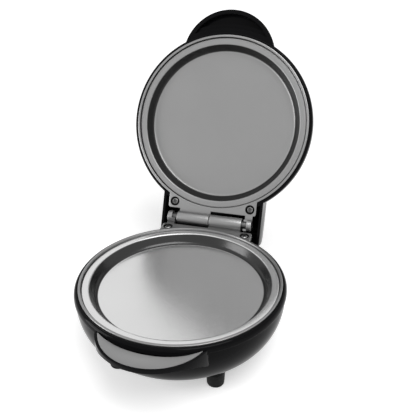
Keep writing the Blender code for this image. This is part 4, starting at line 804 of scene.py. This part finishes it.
# bowl of the base, with its neck, lip, bosses and cord spout
bowl = {"radius": 65.3, "top": -5.0, "sideEnd": -7.8, "floorRadius": 46.7, "depth": -35.0, "wall": 2.2,
        "floorWall": 2.4, "lipWall": 0.7, "shelf": -7.0, "boss": 6.2, "bossOut": 3.0, "bossHeight": 18.0,
        "bossEdge": 0.6, "stemDepth": 4.8, "screwEnd": -9.7}
neck = {"half": 33.0, "front": 51.0, "reach": 68.3, "top": -2.8, "backDrop": -9.0, "footReach": 60.0,
        "footDrop": -17.5, "seat": 63.9, "trough": 5.4, "edge": 0.5, "edgeStart": 58, "sharp": 12}
lip = {"inset": 0.02, "rim": -1.35, "rimFall": 1.8, "tip": -3.6, "root": -13.6, "edge": 0.35,
       "edgeBand": 0.2, "edgeStart": -50, "edgeLow": -12, "trimInset": 1.7, "trimThick": 0.6,
       "trimEdge": -1.9, "trimDepth": 3.3, "trimFillet": 0.12, "trimSteps": 2, "trimSharp": 40}
coveShares = [(1.12, 0.0), (0.83, 0.05), (0.69, 0.12), (0.53, 0.25), (0.42, 0.38), (0.3, 0.52), (0.16, 0.73),
              (0.0, 1.0)]
dishShares = [(1.0, 0.0), (0.95, 0.22), (0.87, 0.5), (0.75, 0.79), (0.62, 0.94), (0.5, 1.0)]
spout = {"drop": -27.0, "radius": 7.0, "reach": 64.5, "start": 50.0, "edge": 0.6}
bushing = {"radius": 4.9, "bore": 3.6, "flange": 6.4, "flangeThick": 1.6, "length": 10.0, "fillet": 0.3,
           "endEdge": 0.4, "neckEdge": 0.1, "flangeEdge": 0.9, "boreEdge": 0.5}
leadPath = {"start": (8, 72.5, -6.4), "end": (8, 58.6, -11.2), "radius": 1.8}


def handleOutline(inset):
    front = arc((0, handleMiddle), handle["arc"] - inset, -math.pi, 0, handle["steps"])
    back = handleMiddle + handle["root"]
    return front + [(front[-1][0], back), (front[0][0], back)]


def quarterRound(inner, outer, side, floor, steps):
    turns = [math.pi / 2 * i / steps for i in range(steps + 1)]
    return [(inner + (outer - inner) * math.cos(t), side + (floor - side) * math.sin(t)) for t in turns]


def smoothCurve(points, steps=4):
    # finer points on a smooth curve through the given ones
    fine = []
    last = len(points) - 1
    for i in range(last):
        before, start, end, after = (Vector(points[min(max(k, 0), last)]) for k in range(i - 1, i + 3))
        slope = (end - before) / 2
        bend = before - 2.5 * start + 2 * end - after / 2
        twist = 1.5 * start - before / 2 - 1.5 * end + after / 2
        for step in range(steps):
            t = step / steps
            fine.append(tuple(start + t * slope + t * t * bend + t ** 3 * twist))
    return fine + [points[-1]]


def coveBody():
    # body whose outside sweeps from the lip's tip to the bowl
    outer, inner = dome["radius"], bowl["floorRadius"]
    out, fall = handle["reach"] - outer, lip["root"] - lip["tip"]
    under = smoothCurve([(outer + out * x, lip["tip"] + fall * y) for x, y in coveShares])
    return turned([(inner, past), (under[0][0], past)] + under + [(inner, lip["root"])])


def dishCurve(drop):
    radius = handle["arc"] - lip["trimInset"]
    return smoothCurve([(radius * x, lip["trimEdge"] - drop - lip["trimDepth"] * y) for x, y in dishShares])


def collarRoom(low):
    return bar(dome["radius"] + gap, low, past, roundSteps)


def isLipEdge(spot):
    out = math.hypot(spot.x, spot.y - handleMiddle)
    return spot.y < lip["edgeStart"] and spot.z > lip["edgeLow"] and out > handle["arc"] - lip["edgeBand"]


def makeLip():
    piece = pushed(handleOutline(lip["inset"]), lip["root"] - past, past)
    low, half = lip["root"] - 2 * past, handle["arc"] + past
    front, back = -handle["reach"] - past, handleMiddle + handle["root"] + past
    sideView = [(front, low), (back, low), (back, lip["rim"] - lip["rimFall"]), (front, lip["rim"])]
    joined(piece, "INTERSECT", pushed(sideView, -half, half, "X"))
    joined(piece, "INTERSECT", coveBody())
    softenWhere(piece, isLipEdge, lip["edge"], edgeSteps)
    edge = handle["arc"] - lip["trimInset"] + gap
    surface = dishCurve(lip["trimThick"] + gap)
    room = [(0, past), (edge, past), (edge, surface[0][1])] + surface[1:] + [(0, surface[-1][1])]
    cutAway(piece, turned(room, roundSteps, (0, handleMiddle)))
    return cutAway(piece, collarRoom(bowl["top"] - gap))


def makeTrim():
    outline = dishCurve(0) + dishCurve(lip["trimThick"])[::-1]
    piece = turned(outline, roundSteps, (0, handleMiddle))
    cutAway(piece, collarRoom(lip["root"]))
    return softenWhere(piece, lambda p: True, lip["trimFillet"], lip["trimSteps"], lip["trimSharp"])


def hoodEdgeWhenOpen(inset):
    # where the hood's bottom edge stands, as (y, z) about the base ring, with the lid thrown back
    out, up = hood["reach"] - hinge["reach"] - inset, hinge["rise"] + hood["bottom"]
    turn = math.atan2(up, out) - openAngle
    radius = math.hypot(out, up)
    return (hinge["reach"] + radius * math.cos(turn) - gap, hinge["rise"] + radius * math.sin(turn))


def makeNeck():
    half, low = neck["half"], neck["footDrop"]
    profile = [(neck["front"], neck["top"]), (neck["reach"], neck["top"]), (neck["reach"], neck["backDrop"]),
               hoodEdgeWhenOpen(hood["wall"]), hoodEdgeWhenOpen(0), (neck["footReach"], low),
               (neck["front"], low)]
    piece = pushed(profile, -half, half, "X")
    softenWhere(piece, lambda p: p.y > neck["edgeStart"], neck["edge"], edgeSteps, neck["sharp"])
    cutAway(piece, bar(neck["trough"], -half - past, half + past, barrelSteps, hingeLine, "X"))
    return cutAway(piece, bar(neck["seat"], low - past, past, roundSteps))


def leadHole():
    # tilted hole for the lead, drawn as a bar between two points of the neck
    start, end = Vector(leadPath["start"]), Vector(leadPath["end"])
    piece = bar(leadPath["radius"], 0, (end - start).length, holeSteps)
    turn = (end - start).to_track_quat("Z", "Y").to_matrix().to_4x4()
    piece.data.transform(Matrix.Translation(start) @ turn)
    return piece


def screwHoles(piece, low, high):
    for side in (-1, 1):
        cutAway(piece, bar(ring["hole"], low, high, holeSteps, (side * ring["screwX"], ring["screwY"])))


def makeBowl():
    outline = [(0, bowl["top"]), (bowl["radius"], bowl["top"])]
    outline += quarterRound(bowl["floorRadius"], bowl["radius"], bowl["sideEnd"], bowl["depth"], outsideSteps)
    piece = turned(outline + [(0, bowl["depth"])])
    bossLow = bowl["depth"] - bowl["bossOut"]
    bossTop = bossLow + bowl["bossHeight"]
    for place in footPlaces:
        added(piece, bar(bowl["boss"], bossLow, bossTop, bossSteps, place, edge=bowl["bossEdge"]))
    line, start, reach = (0, spout["drop"]), spout["start"], spout["reach"]
    added(piece, bar(spout["radius"], start, reach, bossSteps, line, "Y", spout["edge"]), makeLip())
    mouth, wall = bowl["radius"] - bowl["lipWall"], bowl["radius"] - bowl["wall"]
    floor = bowl["depth"] + bowl["floorWall"]
    inside = [(0, past), (mouth, past), (mouth, bowl["shelf"]), (wall, bowl["shelf"])]
    inner = bowl["floorRadius"] - bowl["wall"] / 2
    inside += quarterRound(inner, wall, bowl["sideEnd"], floor, insideSteps)
    cutAway(piece, turned(inside + [(0, floor)]))
    added(piece, makeNeck())
    for place in footPlaces:
        stemTop = bossLow + bowl["stemDepth"]
        cutAway(piece, bar(foot["Stem Radius"] + gap, bossLow - past, stemTop, holeSteps, place))
    screwHoles(piece, bowl["screwEnd"], past)
    cordHole = bar(bushing["radius"] + gap, start - past, reach + past, pinSteps, line, "Y")
    return cutAway(piece, cordHole, leadHole())


settled(makeBowl(), "blackBowl", basePlace, "base", "gloss_black", finishes["glossBlack"], "base_bowl",
        sharp=shellSharp)
settled(makeTrim(), "silverScoop", basePlace, "base", "silver_trim", finishes["silverTrim"], "front_trim")


def makeBushing():
    face = spout["reach"] + gap
    inner, outer, flange = bushing["bore"], bushing["radius"], bushing["flange"]
    start, end = face - bushing["length"], face + bushing["flangeThick"]
    outline = [(inner, start), (outer, start, bushing["endEdge"]), (outer, face, bushing["neckEdge"]),
               (flange, face), (flange, end, bushing["flangeEdge"]), (inner, end, bushing["boreEdge"])]
    return turned(softened(outline, bushing["fillet"]), boreSteps, (0, spout["drop"]), "Y")


settled(makeBushing(), "cordInletBushing", basePlace, "base", "rubber", finishes["blackRubber"],
        "cord_inlet_bushing")
print("base made")


def domeCurve(radius, top, sideEnd, steps):
    turns = [math.pi / 2 * i / steps for i in range(steps)]
    power, rise = 2 / dome["power"], top - sideEnd
    curve = [(radius * math.cos(t) ** power, sideEnd + rise * math.sin(t) ** power) for t in turns]
    return curve + [(0, top)]


def hoodProfile(inset, start, low, steps):
    reach, top, radius = (hood[size] - inset for size in ("reach", "height", "rearRound"))
    corner = arc((reach - radius, top - radius), radius, 0, math.pi / 2, steps)
    return [(start, low), (reach, low)] + corner + [(start, top)]


def isHoodEdge(spot):
    onSide = abs(abs(spot.x) - hood["half"]) < near
    return onSide and spot.z > hood["bottom"] + near and spot.y > hood["start"] + near


def isHoodUnderEdge(spot):
    out = max(abs(spot.x) - hood["underHalf"], spot.y - hood["underBack"])
    return abs(spot.z - hood["bottom"]) < near and spot.y > hood["underStart"] and out > 0


def makeHood():
    profile = hoodProfile(0, hood["start"], hood["bottom"], hood["roundSteps"])
    return softenWhere(pushed(profile, -hood["half"], hood["half"], "X"), isHoodEdge, hood["edge"],
                       hood["edgeSteps"])


def hoodHollow():
    half = hood["half"] - hood["wall"]
    profile = hoodProfile(hood["wall"], hood["hollowStart"], -past, hood["hollowSteps"])
    piece = pushed(profile, -half, half, "X")
    return cutAway(piece, bar(dome["radius"] + gap, -2 * past, hood["height"] + past, roundSteps))


def makeHandle():
    piece = pushed(handleOutline(0), handle["bottom"], handle["top"])
    line = handle["edgeStart"]
    softenWhere(piece, lambda p: p.z > handle["top"] - near and p.y < line, handle["edge"], cornerSteps)
    return softenWhere(piece, lambda p: p.z < handle["bottom"] + near and p.y < line, handle["underEdge"],
                       edgeSteps)


def handlePocket(top, inner, rim):
    return cutAway(pushed(handleOutline(rim), handle["bottom"] - past, top),
                   bar(inner, -past, top + past, roundSteps))


def makeLidHousing():
    radius, height, inner, wall = (dome[size] for size in ("radius", "height", "inner", "wall"))
    start = dome["rimTop"] + dome["innerRise"]
    outline = [(0, start, 0), (inner - dome["innerRise"], start, 0)]
    outline += roundedRim(inner, radius, dome["rimTop"], 1)
    outline += [(radius, dome["sideStart"], dome["sideFillet"])]
    outline += [(r, h, 0) for r, h in domeCurve(radius, height, dome["sideEnd"], outsideSteps)]
    piece = turned(softened(outline, dome["fillet"], rimSteps))
    added(piece, makeHood(), makeHandle())
    cutAway(piece, hoodHollow())
    for side in (-1, 1):
        added(piece, bar(hood["boss"], hood["bossStart"], hood["height"] - hood["bossSink"], postSteps,
                         (side * ring["screwX"], ring["screwY"])))
    ledgeTop = dome["shelf"] + dome["ledgeThick"]
    hollow = [(0, -past), (inner, -past), (inner, dome["shelf"]), (dome["ledge"], dome["shelf"]),
              (dome["ledge"], ledgeTop)]
    hollow += domeCurve(radius - wall, height - wall, dome["sideEnd"] + dome["ledgeThick"], insideSteps)
    cutAway(piece, turned(hollow))
    cutAway(piece, handlePocket(handle["pocketTop"], handle["ledgeRadius"], handle["rim"]))
    cutAway(piece, handlePocket(handle["stepTop"], handle["stepRadius"], handle["rim"] + gap))
    half = neck["half"] + gap
    cutAway(piece, box((-half, 0, -past), (half, ring["earReach"] + past, ring["earThick"] + gap)))
    screwHoles(piece, -past, hood["screwEnd"])
    hole = leadHole()
    hole.data.transform(flipped)
    cutAway(piece, hole)
    softenWhere(piece, isHoodUnderEdge, hood["underEdge"])
    return softenWhere(piece, lambda p: abs(p.z - handle["bottom"]) < near and p.y < handle["joinStart"],
                       handle["joinEdge"])


settled(makeLidHousing(), "blackLid", lidPlace, "lid", "gloss_black", finishes["glossBlack"], "lid_housing",
        sharp=shellSharp)
print("lid made")


# finishes of the inner pieces that stay as they are
innerFinishes = {
    "heaterSheath": ["lower_heater", "upper_heater"],
    "platedSheet": ["lower_reflector"],
    "lightSheet": ["upper_reflector"],
    "ceramic": ["thermostat", "terminal_block"],
    "leadSleeve": ["live_lead", "thermostat_lead", "heater_lead", "hinge_lead", "lid_lead"],
    "screwSteel": ["thermal_fuse", "lower_plate_screw_1", "lower_plate_screw_2", "lower_plate_screw_3",
                   "upper_plate_screw_1", "upper_plate_screw_2", "upper_plate_screw_3"],
}
for finishName, nodeNames in innerFinishes.items():
    for nodeName in nodeNames:
        node = frame["nodes"][nodeName]
        node.data.materials.clear()
        node.data.materials.append(finishes[finishName])
print("inner pieces finished")


# floor, light and camera
studio = {"floorSize": 4.0, "floorDrop": 0.0002, "floorTone": 0.92, "floorRoughness": 0.9,
          "floorSpecular": 0.1, "nearShine": 0.46, "farShine": 0.85, "shineStart": 0.12, "shineEnd": 0.9,
          "worldTone": 0.3}
lamps = {
    "keyLamp": {"spot": (0.3, -0.3, 0.85), "aim": (0, 0.02, 0.06), "size": (0.6, 0.6), "power": 5.4},
    "topLamp": {"spot": (0.1, 0.1, 1.0), "aim": (0, 0.0, 0.05), "size": (0.9, 0.9), "power": 0.3},
    "fillLamp": {"spot": (-0.38, -0.2, 0.13), "aim": (0, 0.03, 0.08), "size": (0.22, 0.28), "power": 1.1},
}
view = {"spot": (91.7, -283.1, 205.2), "aim": (0.0, 72.6, 10.4), "lens": 49.25, "sensor": 36, "start": 0.01}


def whiteRays(tree):
    # one for a ray from the camera, through glass or off a shiny piece, zero for the others
    rays = tree.nodes.new("ShaderNodeLightPath").outputs
    seen = mathNode(tree, "MAXIMUM", rays["Is Camera Ray"], rays["Is Transmission Ray"])
    return mathNode(tree, "MAXIMUM", seen, rays["Is Glossy Ray"])


def makeFloor():
    shape = bmesh.new()
    half = studio["floorSize"] / 2
    corners = ((-half, -half, 0), (half, -half, 0), (half, half, 0), (-half, half, 0))
    shape.faces.new([shape.verts.new(spot) for spot in corners])
    floor = linkMesh(shape, "paleFloor")
    floor.location.z = -studio["floorDrop"]
    material = bpy.data.materials.new("paleFloor")
    material.use_nodes = True
    tree = material.node_tree
    shader = tree.nodes["Principled BSDF"]
    shader.inputs["Base Color"].default_value = (*grey(studio["floorTone"]), 1)
    shader.inputs["Roughness"].default_value = studio["floorRoughness"]
    shader.inputs["Specular IOR Level"].default_value = studio["floorSpecular"]
    place = tree.nodes.new("ShaderNodeTexCoord")
    away = tree.nodes.new("ShaderNodeVectorMath")
    away.operation = "LENGTH"
    tree.links.new(place.outputs["Object"], away.inputs[0])
    spread = rangeNode(tree, {"Value": away.outputs["Value"], "From Min": studio["shineStart"],
                              "From Max": studio["shineEnd"], "To Min": studio["nearShine"],
                              "To Max": studio["farShine"]})
    glow = tree.nodes.new("ShaderNodeEmission")
    tree.links.new(mathNode(tree, "MULTIPLY", whiteRays(tree), spread), glow.inputs["Strength"])
    both = tree.nodes.new("ShaderNodeAddShader")
    tree.links.new(shader.outputs[0], both.inputs[0])
    tree.links.new(glow.outputs[0], both.inputs[1])
    tree.links.new(both.outputs[0], tree.nodes["Material Output"].inputs["Surface"])
    floor.data.materials.append(material)


def makeWorld():
    world = bpy.data.worlds.new("studio")
    bpy.context.scene.world = world
    world.use_nodes = True
    tree = world.node_tree
    plain = tree.nodes["Background"]
    white = tree.nodes.new("ShaderNodeBackground")
    mix = tree.nodes.new("ShaderNodeMixShader")
    tree.links.new(whiteRays(tree), mix.inputs[0])
    for source, socket, tone in ((plain, mix.inputs[1], studio["worldTone"]), (white, mix.inputs[2], 1.0)):
        source.inputs["Color"].default_value = (1, 1, 1, 1)
        source.inputs["Strength"].default_value = tone
        tree.links.new(source.outputs[0], socket)
    tree.links.new(mix.outputs[0], tree.nodes["World Output"].inputs["Surface"])


def aimed(name, data, spot, aim):
    holder = bpy.data.objects.new(name, data)
    bpy.context.scene.collection.objects.link(holder)
    holder.location = spot
    holder.rotation_euler = (Vector(aim) - Vector(spot)).to_track_quat("-Z", "Y").to_euler()
    return holder


def makeLamp(name, spot, aim, size, power):
    lamp = bpy.data.lights.new(name, "AREA")
    lamp.shape = "RECTANGLE"
    lamp.size, lamp.size_y = size
    lamp.energy = power
    aimed(name, lamp, spot, aim)


def makeCamera():
    camera = bpy.data.cameras.new("photoView")
    camera.lens = view["lens"]
    camera.sensor_width = view["sensor"]
    camera.clip_start = view["start"]
    spot, aim = (ringCentre + Vector(view[end]) * mm for end in ("spot", "aim"))
    bpy.context.scene.camera = aimed("photoView", camera, spot, aim)


makeFloor()
makeWorld()
for name, looks in lamps.items():
    makeLamp(name, **looks)
makeCamera()
bpy.context.scene.view_settings.view_transform = "Standard"
print("studio made")
